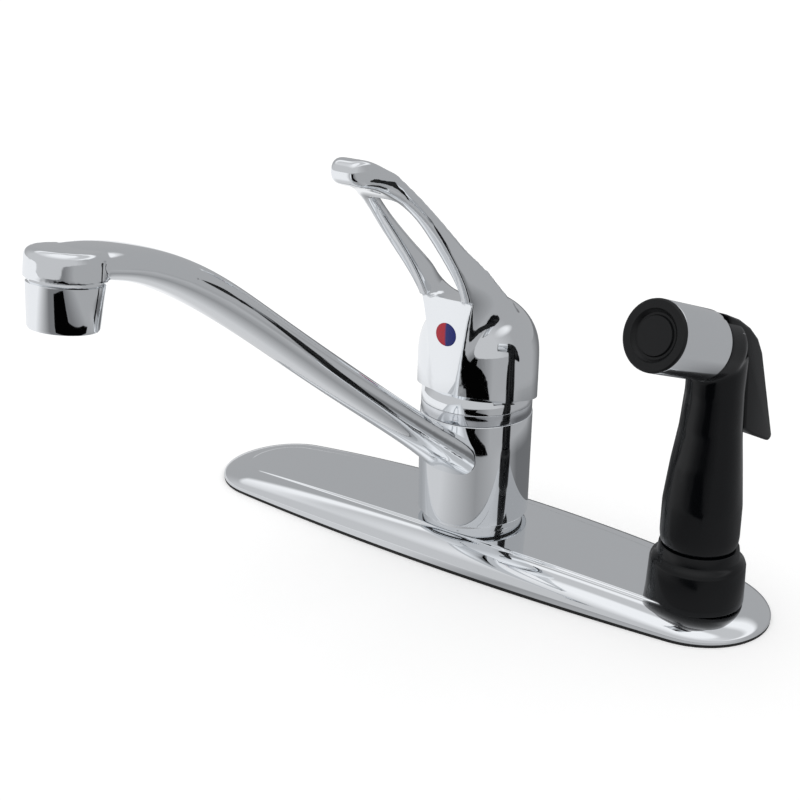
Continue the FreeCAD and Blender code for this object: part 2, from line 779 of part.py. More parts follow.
def waterway():
    """The channel from the post's water groove to the outlet, in straight runs."""
    outlet = at_outlet(Part.Vertex(V(0, 0, head_height * 0.45))).Point
    stops = [V(0, -post_radius + 1.0, water_inlet_z)]
    stops += [arm_middle(-ahead) for ahead in waterway_turns] + [outlet]
    runs = [rod(start, end, waterway_radius) for start, end in zip(stops, stops[1:])]
    joints = [Part.makeSphere(waterway_radius, stop) for stop in stops[1:]]
    return runs[0].fuse(runs[1:] + joints)


def spout():
    collar = cylinder(collar_radius, collar_bottom, collar_top)
    collar = round_top(collar, collar_top, collar_edge)
    arm = Part.makeLoft([arm_section(*station) for station in arm_places], True, False)
    arm = arm.cut(at_outlet(cylinder(head_radius + 1.0, -shell_length, 0.0)))
    head = round_top(cylinder(head_radius, 0.0, head_height), head_height, head_edge)
    spigot_radius = shell_bore - press_gap
    head = head.fuse(cylinder(spigot_radius, -spigot_length, 1.0))
    body = collar.fuse([arm, at_outlet(head)])
    body = body.cut(cylinder(collar_bore, collar_bottom - 1.0, collar_top + 1.0))
    body = body.cut(waterway())
    outlet_bore = cylinder(spigot_radius - 1.8, -spigot_length - 1.0, head_height * 0.45)
    return body.cut(at_outlet(outlet_bore))


# ---------------------------------------------------------------- aerator
def aerator_shell():
    lip_top = -shell_length + shell_lip_height
    profile = [(shell_top_radius, -slide_gap), (shell_bottom_radius + 0.1, -shell_length + 0.8),
               (shell_bottom_radius - 0.5, -shell_length), (shell_bore - shell_lip, -shell_length),
               (shell_bore - shell_lip, lip_top), (shell_bore, lip_top), (shell_bore, -slide_gap)]
    return at_outlet(turned(profile))


def aerator_washer():
    outer = shell_bore - seal_gap
    low = insert_top + seal_gap
    return at_outlet(tube(outer, outer - 2.4, low, low + aerator_washer_thickness))


def aerator_insert():
    outer = shell_bore - seal_gap
    low = insert_top - insert_length
    body = tube(outer, outer - 1.6, low, insert_top)
    for step in range(3):
        turn = math.radians(60 * step)
        reach = V(math.cos(turn), math.sin(turn), 0) * (outer - 1.0)
        web = rod(V(0, 0, low + 2.6) - reach, V(0, 0, low + 2.6) + reach, 0.7)
        body = body.fuse(web)
    return at_outlet(body)


def aerator_screen():
    outer = shell_bore - seal_gap
    high = insert_top - insert_length - seal_gap
    screen = cylinder(outer, high - screen_thickness, high)
    holes = []
    for ring, count in ((2.2, 6), (4.6, 12)):
        for step in range(count):
            turn = 2 * math.pi * step / count
            x = ring * math.cos(turn)
            y = ring * math.sin(turn)
            holes.append(cylinder(0.6, high - screen_thickness - 1, high + 1, x, y))
    return at_outlet(screen.cut(holes))


# ---------------------------------------------------------------- handle
def handle_dome():
    """A round skirt under a half-round dome."""
    return cylinder(skirt_radius, pivot_z, dome_centre_z).fuse(
        Part.makeSphere(skirt_radius, V(0, 0, dome_centre_z)).common(
            cylinder(skirt_radius + 1, dome_centre_z, dome_centre_z + skirt_radius + 1)))


def handle_blade():
    """The lever: its side view cut by its plan view."""
    side = [(facet_y, dome_centre_z), (lever_top[0][0], dome_centre_z)]
    side += lever_top + lever_under + [(facet_y, lever_under[-1][1] - 2.5)]
    slab = side_slab(side, -20.0, 20.0)
    right = [V(half, y, 0) for y, half in lever_widths[:-1]]
    tip = V(0, lever_widths[-1][0], 0)
    left = [V(-p.x, p.y, 0) for p in reversed(right)]
    curve = Part.BSplineCurve()
    curve.interpolate(right + [tip] + left)
    back = Part.LineSegment(left[-1], right[0])
    plan = Part.Face(Part.Wire([curve.toShape(), back.toShape()]))
    return slab.common(plan.extrude(V(0, 0, 2 * lever_top[-1][1])))


def handle_slot():
    """The open loop of the lever, cut square to its length."""
    run = V(0, slot_upper_y - slot_lower_y, 0)
    rise = height_at(lever_under, slot_upper_y) - height_at(lever_under, slot_lower_y)
    along = V(0, run.y, rise)
    length = along.Length
    narrow = slot_upper_half_width
    wide = slot_half_width
    corner = 3.0
    lower = [V(-wide + corner, 0, 0), V(wide - corner, 0, 0)]
    points = [V(wide, corner, 0), V(narrow, length - narrow, 0)]
    edges = [Part.LineSegment(lower[0], lower[1]).toShape(),
             Part.Arc(lower[1], V(wide - corner * 0.293, corner * 0.293, 0), points[0]).toShape(),
             Part.LineSegment(points[0], points[1]).toShape(),
             Part.Arc(points[1], V(0, length, 0), V(-narrow, length - narrow, 0)).toShape(),
             Part.LineSegment(V(-narrow, length - narrow, 0), V(-wide, corner, 0)).toShape(),
             Part.Arc(V(-wide, corner, 0), V(-wide + corner * 0.293, corner * 0.293, 0), lower[0]).toShape()]
    cutter = Part.Face(Part.Wire(edges)).extrude(V(0, 0, 60.0))
    cutter.translate(V(0, 0, -30.0))
    lean = math.degrees(math.atan2(rise, -run.y))
    cutter.rotate(V(0, 0, 0), V(0, 0, 1), 180)
    cutter.rotate(V(0, 0, 0), V(1, 0, 0), -lean)
    cutter.translate(V(0, slot_lower_y, height_at(lever_under, slot_lower_y)))
    return cutter


def height_at(line, y):
    """Height of a side-view line at a place, by straight runs between its points."""
    ordered = sorted(line)
    for near, far in zip(ordered, ordered[1:]):
        if near[0] <= y <= far[0]:
            share = (y - near[0]) / (far[0] - near[0])
            return near[1] + share * (far[1] - near[1])
    return ordered[0][1] if y < ordered[0][0] else ordered[-1][1]


def handle_room():
    """The hollow under the dome, which clears the bonnet over the lever's whole lift."""
    ball = Part.makeSphere(dome_inside_radius, V(0, 0, pivot_z))
    return ball.fuse(cylinder(skirt_bore, pivot_z - 20.0, skirt_height + 0.2))


def below_skirt():
    """Everything under the skirt's slanted edge."""
    reach = 60.0
    points = [(-reach, skirt_height + reach * skirt_slope), (reach, skirt_height - reach * skirt_slope),
              (reach, -20.0), (-reach, -20.0)]
    return side_slab(points, -reach, reach)


def handle():
    body = handle_dome().fuse(handle_blade())
    body = body.cut(box(-40, 40, facet_y - 20.0, facet_y, pivot_z, lever_under[-1][1] - 3.0))
    body = body.cut(handle_room())
    body = body.cut(below_skirt())
    body = body.cut(handle_slot())
    gap = stem_half + press_gap
    body = body.cut(box(-gap, gap, -gap, gap, pivot_z, stem_top + 0.4))
    body = body.cut(rod(V(0, facet_y - 1, button_z), V(0, 0, button_z), set_screw_radius + press_gap))
    end = V(0, facet_y + button_thickness, button_z)
    return body.cut(rod(V(0, facet_y - 1, button_z), end, button_radius + press_gap))


def handle_set_screw():
    end = -stem_half - press_gap
    screw = rod(V(0, end - set_screw_length, button_z), V(0, end, button_z), set_screw_radius)
    socket = hexagon(2.4, 0.0, 3.0)
    socket.rotate(V(0, 0, 0), V(1, 0, 0), -90)
    socket.translate(V(0, end - set_screw_length - 0.5, button_z))
    return screw.cut(socket)


def index_button():
    back = facet_y + button_thickness - slide_gap
    disc = rod(V(0, facet_y - 0.1, button_z), V(0, back, button_z), button_radius)
    peg = rod(V(0, facet_y, button_z), V(0, back + 4.0, button_z), set_screw_radius - 0.1)
    return disc.fuse(peg)


# ---------------------------------------------------------------- side spray holder
def spray_holder():
    """Its foot follows the plate's arch."""
    foot = plate_top - crown_drop(hole_spacing + holder_base_radius)
    profile = [(holder_bore_radius, -shank_drop), (shank_radius, -shank_drop), (shank_radius, foot),
               (holder_base_radius, foot), (holder_base_radius - 0.2, holder_seat_z + 3.5),
               (holder_shoulder_radius, holder_shoulder_z), (holder_rim_radius, holder_top),
               (holder_cup_radius, holder_top), (holder_cup_radius, holder_ledge_z),
               (holder_bore_radius, holder_ledge_z)]
    plate = plate_outside().cut(cylinder(shank_hole_radius, 0.0, plate_top + 1.0, hole_spacing))
    return turned(profile, hole_spacing).cut(plate)


def holder_washer():
    low = under_deck - pad_thickness
    return tube(holder_washer_radius, shank_hole_radius, low, under_deck, hole_spacing)


def holder_nut():
    high = under_deck - pad_thickness
    low = high - holder_nut_height
    nut = cylinder(holder_nut_radius, low, high, hole_spacing)
    half = wing_width / 2
    nut = nut.fuse(box(hole_spacing - wing_reach, hole_spacing + wing_reach, -half, half, low, high))
    return nut.cut(cylinder(shank_radius + press_gap, low - 1, high + 1, hole_spacing))


# ---------------------------------------------------------------- side spray
# The spray is drawn about its own axis with its head towards -Y, then turned into place.
def at_spray(shape):
    shape = shape.copy()
    shape.rotate(V(0, 0, 0), V(0, 0, 1), spray_turn_deg)
    shape.translate(V(hole_spacing, 0, spray_lift))
    return shape


def at_head(shape):
    """Stand a shape drawn along +Z on the head's axis, from its crossing with the wand's axis."""
    shape = shape.copy()
    turn = FreeCAD.Rotation(V(1, 0, 0), 90.0 - head_tilt_deg)
    shape.Placement = FreeCAD.Placement(V(0, 0, head_pivot_z), turn).multiply(shape.Placement)
    return shape


def wand_circle(height, radius, ahead):
    return Part.Wire(Part.makeCircle(radius, V(0, -ahead, height)))


def seen_from_side(points):
    return [(-ahead, height) for ahead, height in points]


def trigger_pocket():
    """The room that the trigger lies and swings in."""
    half = trigger_half_width + trigger_room
    return side_slab(seen_from_side(trigger_pocket_line), -half, half)


def above_trigger():
    """What the head loses above the trigger's sloping top."""
    return side_slab(seen_from_side(head_slope_line), -2 * band_radius, 2 * band_radius)


def wand_body():
    sections = ((wand_bottom, *wand_foot), *wand_sections)
    wand = Part.makeLoft([wand_circle(*section) for section in sections], True, False)
    core = cylinder(head_core_radius, -head_back, band_start - slide_gap)
    core = core.fuse(cylinder(band_radius - band_wall - press_gap, 0.0, band_end - face_plug_length - 1.0))
    wand = wand.fuse([at_head(core), cylinder(tail_radius, tail_bottom, wand_bottom + 1.0)])
    return wand.cut(above_trigger())


def valve_room():
    return rod(V(0, -valve_room_back, plunger_z), V(0, -valve_room_front, plunger_z), valve_room_radius)


def wand_water():
    """Riser, valve room and the run to the spray face."""
    middle = -(valve_room_back + valve_room_front) / 2
    riser = cylinder(hose_bore_radius, tail_bottom, plunger_z, 0.0, middle + 0.9)
    chamber = at_head(Part.Vertex(V(0, 0, band_end - face_plug_length - 1.0))).Point
    return riser.fuse([valve_room(), rod(V(0, middle - 1.1, plunger_z), chamber, hose_bore_radius - 0.4)])


def along_plunger(start, end, radius):
    """A rod on the plunger's axis between two places ahead of or behind the wand's axis."""
    return rod(V(0, start, plunger_z), V(0, end, plunger_z), radius)


def across_pin(reach, radius):
    """A rod on the trigger's pin, to both sides."""
    start = V(-reach, -trigger_pin_ahead, trigger_pin_z)
    return rod(start, V(reach, -trigger_pin_ahead, trigger_pin_z), radius)


def spray_wand():
    wand = wand_body().cut(trigger_pocket()).cut(wand_water())
    wand = wand.cut(along_plunger(plunger_bore_end, -valve_room_back - 2.0, plunger_radius + slide_gap))
    wand = wand.cut(cylinder(coupling_socket_radius, tail_bottom - 1.0, coupling_top + slide_gap))
    groove = clip_section + 0.2
    wand = wand.cut(cylinder(coupling_socket_radius + 1.1, clip_height - groove, clip_height + groove))
    return at_spray(wand.cut(across_pin(trigger_half_width + 3.0, trigger_pin_radius + press_gap)))


def trigger_pin():
    return at_spray(across_pin(trigger_half_width + 2.4, trigger_pin_radius))


def spray_trigger():
    half = trigger_half_width
    body = side_slab(seen_from_side(trigger_back + trigger_front), -half, half)
    inside = half - trigger_wall
    body = body.cut(side_slab(seen_from_side(trigger_hollow), -inside, inside))
    return at_spray(body.cut(across_pin(half + 1.0, trigger_pin_radius + 0.08)))


def spray_band():
    band = tube(band_radius, band_radius - band_wall, band_start, band_end)
    return at_spray(at_head(band))


def spray_face():
    plug_radius = band_radius - band_wall - press_gap
    low = band_end - face_plug_length
    front = band_end + face_thickness
    face = cylinder(plug_radius, low, band_end).fuse(cylinder(band_radius, band_end, front))
    face = face.cut(cylinder(plug_radius - face_wall, low - 1.0, band_end - 0.6))
    face = face.cut(tube(band_radius - 2.2, band_radius - 4.2, front - 0.6, front + 1))
    holes = []
    for ring, count in ((2.4, 6), (5.4, 12)):
        for step in range(count):
            turn = 2 * math.pi * step / count
            x = ring * math.cos(turn)
            y = ring * math.sin(turn)
            holes.append(cylinder(0.55, band_end - 2.0, front + 1.0, x, y))
    return at_spray(at_head(face.cut(holes)))


def face_seal():
    height = band_end - face_plug_length - 0.5
    seal = ring_seal(band_radius - band_wall - 1.4, 0.45, height)
    return at_spray(at_head(seal))


def plunger_front():
    return -valve_room_back - 0.6


def spray_plunger():
    front = plunger_front()
    stem = along_plunger(plunger_reach, front, plunger_radius)
    head = along_plunger(front - 0.9, front - 2.3, plunger_head_radius)
    neck = along_plunger(front + 0.5, front - 1.5, plunger_radius - 0.6)
    return at_spray(stem.fuse([neck, head]))


def plunger_seal():
    seal = along_plunger(plunger_front() - 0.05, plunger_front() - 0.85, plunger_head_radius + 0.3)
    return at_spray(seal.cut(along_plunger(2.0, -8.0, plunger_radius - 0.55)))


def plunger_spring():
    start = V(0, plunger_front() - 2.35, plunger_z)
    return at_spray(coil(2.3, 0.3, plunger_spring_length, 3, start, V(0, -1, 0)))


def hose_coupling():
    body = cylinder(coupling_radius, coupling_bottom + 1.0, coupling_top)
    body = body.fuse(cylinder(coupling_grip_radius, coupling_bottom, coupling_grip_top))
    thread_top = coupling_bottom + hose_thread_length
    body = body.cut(cylinder(hose_thread_radius, coupling_bottom - 1.0, thread_top + 0.5))
    body = body.cut(cylinder(hose_washer_radius, thread_top, thread_top + hose_washer_room))
    body = body.cut(cylinder(hose_bore_radius, coupling_bottom, coupling_top + 1.0))
    low = clip_height - clip_section - seal_gap
    high = clip_height + clip_section + seal_gap
    groove = tube(coupling_radius + 1.0, coupling_radius - 0.8, low, high)
    return at_spray(body.cut(groove))


def coupling_clip():
    low = clip_height - clip_section
    ring = tube(coupling_radius + 0.8, coupling_radius - 0.75, low, clip_height + clip_section)
    return at_spray(ring.cut(box(-1.5, 1.5, 0.0, 15.0, 0.0, 40.0)))


def coupling_washer():
    high = coupling_bottom + hose_thread_length + hose_washer_room - seal_gap
    low = high - hose_washer_room + 2 * seal_gap
    return at_spray(tube(hose_washer_radius - seal_gap, hose_bore_radius, low, high))


# ---------------------------------------------------------------- writing the pieces
def pieces():
    return {
        "deck_plate": deck_plate(),
        "deck_gasket": deck_gasket(),
        "base_ring": base_ring(),
        "lower_glide_ring": lower_glide_ring(),
        "valve_body": valve_body(),
        "spout_o_rings": spout_o_rings(),
        "upper_glide_ring": upper_glide_ring(),
        "bonnet": bonnet(),
        "cartridge_seals": cartridge_seals(),
        "cartridge_base": cartridge_base(),
        "fixed_disc": fixed_disc(),
        "moving_disc": moving_disc(),
        "disc_driver": disc_driver(),
        "cartridge_housing": cartridge_housing(),
        "lever_carrier": lever_carrier(),
        "carrier_pin": carrier_pin(),
        "cartridge_lever": cartridge_lever(),
        "cartridge_nut": cartridge_nut(),
        "diverter_plug": diverter_plug(),
        "diverter_piston": diverter_piston(),
        "diverter_seal": diverter_seal(),
        "diverter_spring": diverter_spring(),
        "hot_tube": supply_tail(-1),
        "cold_tube": supply_tail(1),
        "spray_outlet_tube": spray_outlet_tube(),
        "spray_outlet_nipple": spray_outlet_nipple(),
        "mounting_studs": mounting_studs(),
        "mounting_pad": mounting_pad(),
        "mounting_bracket": mounting_bracket(),
        "mounting_nuts": mounting_nuts(),
        "spout": spout(),
        "aerator_shell": aerator_shell(),
        "aerator_washer": aerator_washer(),
        "aerator_insert": aerator_insert(),
        "aerator_screen": aerator_screen(),
        "handle": handle(),
        "handle_set_screw": handle_set_screw(),
        "index_button": index_button(),
        "spray_holder": spray_holder(),
        "holder_washer": holder_washer(),
        "holder_nut": holder_nut(),
        "spray_wand": spray_wand(),
        "spray_band": spray_band(),
        "spray_face": spray_face(),
        "face_seal": face_seal(),
        "trigger_pin": trigger_pin(),
        "spray_trigger": spray_trigger(),
        "spray_plunger": spray_plunger(),
        "plunger_seal": plunger_seal(),
        "plunger_spring": plunger_spring(),
        "hose_coupling": hose_coupling(),
        "coupling_clip": coupling_clip(),
        "coupling_washer": coupling_washer(),
    }


def main():
    os.makedirs("parts", exist_ok=True)
    for name, shape in pieces().items():
        shape.exportStep("parts/" + name + ".step")
        state = "valid" if shape.isValid() else "NOT VALID"
        print(name, len(shape.Solids), state, round(shape.Volume, 1))


main()
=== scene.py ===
import json
import math

import bmesh
import bpy
from mathutils import Matrix, Vector


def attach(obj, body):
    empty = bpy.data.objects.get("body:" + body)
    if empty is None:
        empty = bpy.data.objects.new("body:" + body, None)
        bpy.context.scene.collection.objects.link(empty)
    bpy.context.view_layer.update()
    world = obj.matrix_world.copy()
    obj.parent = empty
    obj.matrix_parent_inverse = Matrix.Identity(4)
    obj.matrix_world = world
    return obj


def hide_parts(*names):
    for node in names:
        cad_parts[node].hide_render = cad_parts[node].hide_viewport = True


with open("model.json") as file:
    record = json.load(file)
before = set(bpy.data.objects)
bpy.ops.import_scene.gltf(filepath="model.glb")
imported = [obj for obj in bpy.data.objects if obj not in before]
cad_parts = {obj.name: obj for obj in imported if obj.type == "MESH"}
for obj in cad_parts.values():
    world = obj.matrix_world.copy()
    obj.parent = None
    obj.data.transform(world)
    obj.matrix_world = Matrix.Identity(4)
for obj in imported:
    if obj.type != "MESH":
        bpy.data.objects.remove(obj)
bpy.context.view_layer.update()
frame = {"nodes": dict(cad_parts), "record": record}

# Lengths in this script are millimetres until a piece is finished, which turns them to metres.
MM = 0.001

# ---------------------------------------------------------------- sizes and places
# Deck plate
PLATE_HALF_LENGTH = 131.0
PLATE_HALF_WIDTH = 33.9
PLATE_END_RADIUS = 29.0
PLATE_TOP = 11.6
PLATE_ARCH = 1260.9
PLATE_WALL = 2.2

# Body stack
POST_CLEAR = 17.3
COLLAR_RADIUS = 23.0
COLLAR_BOTTOM = 14.9
COLLAR_TOP = 58.6
FOOT_BOTTOM = 11.2
FOOT_TOP = 14.2
BONNET_FOOT = 63.5
BONNET_RADIUS = 22.6
BONNET_TOP = 76.0
BONNET_BALL = 24.6

# Side spray
SPRAY_X = 101.6
SPRAY_TURN = math.radians(-11.5)
HEAD_CROSSING_Z = 106.0
HEAD_TILT = math.radians(18.4)

# Spout
ARM_ROOT_Y = -17.5
OUTLET_Y = -209.6
OUTLET_Z = 160.2
OUTLET_TILT = math.radians(8.8)

# Handle
SKIRT_RADIUS = 24.5
DOME_CENTRE_Z = 84.5
DOME_RISE = 23.0
PIVOT_Z = 57.0
SKIRT_LEVEL = 67.3
SKIRT_SLANT = math.radians(11.1)
SKIRT_HOLLOW = 24.75
FACET_Y = -24.1
FACET_TOP = 110.5
BUTTON_Z = 96.0

# Camera
CAMERA_TARGET = Vector((-38.5, 0.0, 52.3))
CAMERA_DISTANCE = 596.2
CAMERA_AZIMUTH = math.radians(35.57)
CAMERA_ELEVATION = math.radians(21.14)
CAMERA_ROLL = math.radians(1.05)
CAMERA_LENS = 63.0
SENSOR_WIDTH = 36.0

# Studio
FLOOR_GLOW = 0.3
NEAR_REACH = 150.0
FAR_REACH = 230.0
HORIZON_BLEND = 0.3


# ---------------------------------------------------------------- materials
def linear(hex_colour, alpha=1.0):
    """An sRGB hex colour as linear RGBA."""
    channels = []
    for start in (0, 2, 4):
        value = int(hex_colour[start:start + 2], 16) / 255
        channels.append(value / 12.92 if value <= 0.04045 else ((value + 0.055) / 1.055) ** 2.4)
    return (*channels, alpha)


def add_node(tree, kind, settings=None, links=None):
    """Adds a node; settings are its attributes or numbered and named inputs, links feed its inputs."""
    node = tree.nodes.new(kind)
    for key, value in (settings or {}).items():
        if isinstance(key, int) or key in node.inputs:
            node.inputs[key].default_value = value
        else:
            setattr(node, key, value)
    for key, output in (links or {}).items():
        tree.links.new(output, node.inputs[key])
    return node


def new_material(name, hex_colour, **shader):
    material = bpy.data.materials.new(name)
    material.use_nodes = True
    tree = material.node_tree
    surface = tree.nodes["Principled BSDF"]
    surface.inputs["Base Color"].default_value = linear(hex_colour)
    for key, value in shader.items():
        surface.inputs[key.replace("_", " ")].default_value = value
    material.diffuse_color = linear(hex_colour)
    return material, tree, surface


def grain(tree, size_mm, detail=2.0):
    """Noise whose features are about size_mm across."""
    place = add_node(tree, "ShaderNodeTexCoord")
    settings = {"Scale": 1 / (size_mm * MM), "Detail": detail}
    return add_node(tree, "ShaderNodeTexNoise", settings, {"Vector": place.outputs["Object"]})


def vary_roughness(tree, surface, noise, low, high):
    spread = add_node(tree, "ShaderNodeMapRange", {"To Min": low, "To Max": high},
                      {"Value": noise.outputs["Fac"]})
    tree.links.new(spread.outputs["Result"], surface.inputs["Roughness"])


def add_bump(tree, surface, noise, height_mm, strength):
    settings = {"Distance": height_mm * MM, "Strength": strength}
    bump = add_node(tree, "ShaderNodeBump", settings, {"Height": noise.outputs["Fac"]})
    tree.links.new(bump.outputs["Normal"], surface.inputs["Normal"])


def vary_colour(tree, surface, noise, dark, light):
    ramp = add_node(tree, "ShaderNodeMix", {"data_type": "RGBA"}, {"Factor": noise.outputs["Fac"]})
    ramp.inputs[6].default_value = linear(dark)
    ramp.inputs[7].default_value = linear(light)
    tree.links.new(ramp.outputs[2], surface.inputs["Base Color"])


def chrome_plate(name="chrome_plated_brass", hex_colour="f1f3f5", low=0.025, high=0.06):
    """Polished chrome on cast brass: a mirror with a cool tint and a faint buffing haze."""
    material, tree, surface = new_material(name, hex_colour, Metallic=1.0)
    vary_roughness(tree, surface, grain(tree, 14.0), low, high)
    return material


def gloss_black(name="moulded_black_plastic"):
    """Injection-moulded ABS in black: deep gloss with a little orange peel from the mould."""
    material, tree, surface = new_material(name, "060709", IOR=1.5)
    surface.inputs["Specular IOR Level"].default_value = 0.3
    vary_roughness(tree, surface, grain(tree, 9.0), 0.1, 0.2)
    add_bump(tree, surface, grain(tree, 2.5), 0.02, 0.15)
    return material


def satin_black(name="moulded_black_nozzle_plate"):
    """ABS from an etched mould: a soft, fine grain that takes the gloss off."""
    material, tree, surface = new_material(name, "0b0c0e", IOR=1.5)
    surface.inputs["Specular IOR Level"].default_value = 0.35
    vary_roughness(tree, surface, grain(tree, 1.2), 0.34, 0.5)
    add_bump(tree, surface, grain(tree, 0.7), 0.05, 0.3)
    return material


def black_rubber():
    """Moulded nitrile rubber: dull black, paler where it is worn."""
    material, tree, surface = new_material("moulded_black_rubber", "151515", IOR=1.5)
    noise = grain(tree, 1.5)
    vary_roughness(tree, surface, noise, 0.6, 0.8)
    vary_colour(tree, surface, noise, "101010", "1b1b1b")
    return material


def acetal(name, dark, light):
    """Turned acetal: a waxy, slightly mottled plastic."""
    material, tree, surface = new_material(name, light, IOR=1.48)
    noise = grain(tree, 3.0)
    vary_roughness(tree, surface, noise, 0.32, 0.48)
    vary_colour(tree, surface, noise, dark, light)
    return material


def metal(name, dark, light, low, high, size_mm=4.0):
    """Bare machined metal, duller and darker in patches."""
    material, tree, surface = new_material(name, light, Metallic=1.0)
    noise = grain(tree, size_mm, 4.0)
    vary_roughness(tree, surface, noise, low, high)
    vary_colour(tree, surface, noise, dark, light)
    return material


def glazed_ceramic():
    """Lapped alumina: off-white and very smooth."""
    material, tree, surface = new_material("lapped_alumina", "ece8de", IOR=1.76)
    vary_roughness(tree, surface, grain(tree, 5.0), 0.08, 0.16)
    return material


def index_enamel():
    """Red and blue halves printed under clear gloss: hot on the left, cold on the right."""
    material, tree, surface = new_material("red_and_blue_index_print", "a01826", IOR=1.5)
    surface.inputs["Roughness"].default_value = 0.12
    place = add_node(tree, "ShaderNodeTexCoord")
    split = add_node(tree, "ShaderNodeSeparateXYZ", links={"Vector": place.outputs["Object"]})
    blur = 0.4 * MM
    side = add_node(tree, "ShaderNodeMapRange", {"From Min": -blur, "From Max": blur},
                    {"Value": split.outputs["X"]})
    colour = add_node(tree, "ShaderNodeMix", {"data_type": "RGBA"}, {"Factor": side.outputs["Result"]})
    colour.inputs[6].default_value = linear("b3182c")
    colour.inputs[7].default_value = linear("14206e")
    tree.links.new(colour.outputs[2], surface.inputs["Base Color"])
    return material


CHROME = chrome_plate()
BAND_CHROME = chrome_plate("chromed_abs_band", "eceef0", 0.06, 0.12)
BLACK = gloss_black()
NOZZLE_BLACK = satin_black()
RUBBER = black_rubber()
GREY_RING = metal("chromed_guide_ring", "c9ccd0", "e4e6e9", 0.05, 0.12)
DARK_RING = acetal("black_acetal", "141416", "1f2022")
WHITE_ACETAL = acetal("white_acetal", "d6d5cf", "e9e8e3")
GREY_ACETAL = acetal("grey_acetal", "77797c", "8d8f92")
BRASS = metal("machined_brass", "a88748", "c9a765", 0.22, 0.38)
COPPER = metal("drawn_copper", "a8664a", "c98263", 0.2, 0.36)
STEEL = metal("stainless_steel", "9a9a9c", "bcbcbe", 0.2, 0.34)
CERAMIC = glazed_ceramic()
INDEX = index_enamel()

SLOT_MATERIALS = {
    "chrome": CHROME, "chromed_plastic": BAND_CHROME, "black_plastic": BLACK, "black_rubber": RUBBER,
    "grey_nylon": GREY_ACETAL, "dark_nylon": DARK_RING, "white_plastic": WHITE_ACETAL, "brass": BRASS,
    "copper": COPPER, "steel": STEEL, "ceramic": CERAMIC, "index_button": INDEX,
}


def dress_kept_nodes():
    """Every CAD node gets its slot's material; the nodes that pieces replace are hidden when those pieces are
    placed.
    """
    for part in frame["record"]["subparts"]:
        node = frame["nodes"][part["node"]]
        node.data.materials.clear()
        node.data.materials.append(SLOT_MATERIALS[part["material_slot"]])


# ---------------------------------------------------------------- mesh helpers
def finish_mesh(bm, name, material, sharp_degrees=34.0):
    """Closes the bmesh off: doubles merged, faces outwards, smooth but for its sharp edges."""
    bmesh.ops.remove_doubles(bm, verts=bm.verts, dist=0.002)
    bmesh.ops.recalc_face_normals(bm, faces=bm.faces)
    bmesh.ops.scale(bm, vec=(MM, MM, MM), verts=bm.verts)
    for face in bm.faces:
        face.smooth = True
    limit = math.radians(sharp_degrees)
    for edge in bm.edges:
        if len(edge.link_faces) == 2 and edge.calc_face_angle() > limit:
            edge.smooth = False
    mesh = bpy.data.meshes.new(name)
    bm.to_mesh(mesh)
    bm.free()
    mesh.materials.append(material)
    piece = bpy.data.objects.new(name, mesh)
    bpy.context.scene.collection.objects.link(piece)
    return piece


def place_piece(piece, body, slot, *nodes):
    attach(piece, body)
    if nodes:
        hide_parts(*nodes)
    return piece


def bake_modifiers(piece):
    """Turns a piece's modifiers into its mesh."""
    bpy.context.view_layer.update()
    shaped = piece.evaluated_get(bpy.context.evaluated_depsgraph_get())
    mesh = bpy.data.meshes.new_from_object(shaped)
    piece.modifiers.clear()
    old = piece.data
    piece.data = mesh
    mesh.name = piece.name
    bpy.data.meshes.remove(old)


def line_of(bm, points, closed=False):
    """Vertices along points, joined by edges."""
    verts = [bm.verts.new(point) for point in points]
    edges = [bm.edges.new(pair) for pair in zip(verts, verts[1:])]
    if closed:
        edges.append(bm.edges.new((verts[-1], verts[0])))
    return verts + edges


def turn(bm, profile, x=0.0, y=0.0, steps=96, closed=True):
    """Spins a profile of (radius, height) about a vertical axis."""
    geom = line_of(bm, [(x + radius, y, height) for radius, height in profile], closed)
    bmesh.ops.spin(bm, geom=geom, cent=(x, y, 0), axis=(0, 0, 1), angle=math.tau, steps=steps,
                   use_merge=True)
    bmesh.ops.remove_doubles(bm, verts=bm.verts, dist=0.001)


def soften(bm, offset, segments=3, degrees=30.0):
    """Rounds every edge that is sharper than an angle."""
    bmesh.ops.recalc_face_normals(bm, faces=bm.faces)
    limit = math.radians(degrees)
    edges = [e for e in bm.edges if len(e.link_faces) == 2 and e.calc_face_angle() > limit]
    bmesh.ops.bevel(bm, geom=edges, offset=offset, offset_type="OFFSET", affect="EDGES", segments=segments,
                    profile=0.5, material=-1)


def turned_piece(name, profile, material, offset=0.3, at=None, x=0.0, y=0.0, steps=96):
    bm = bmesh.new()
    turn(bm, profile, x, y, steps)
    if offset:
        soften(bm, offset)
    if at:
        bmesh.ops.transform(bm, matrix=at, verts=bm.verts)
    return finish_mesh(bm, name, material)


def ring_profile(inner, outer, low, high):
    """A plain ring's section, as (radius, height)."""
    return [(inner, low), (outer, low), (outer, high), (inner, high)]


def as_bmesh(piece):
    """A piece's mesh to work on, with the piece itself gone."""
    bm = bmesh.new()
    bm.from_mesh(piece.data)
    bpy.data.objects.remove(piece)
    return bm


def rub_smooth(bm, verts, passes):
    """Evens out vertices among their neighbours, as polishing does."""
    for _ in range(passes):
        bmesh.ops.smooth_vert(bm, verts=verts, factor=0.5, use_axis_x=True, use_axis_y=True,
                              use_axis_z=True)


def ring_at(bm, matrix, segments=24):
    """A unit circle of vertices, put in place by a matrix."""
    circle = bmesh.ops.create_circle(bm, cap_ends=False, radius=1.0, segments=segments, matrix=matrix)
    return circle["verts"]


def ring_edges(verts):
    members = set(verts)
    return [e for v in verts for e in v.link_edges if e.verts[0] in members and e.verts[1] in members]


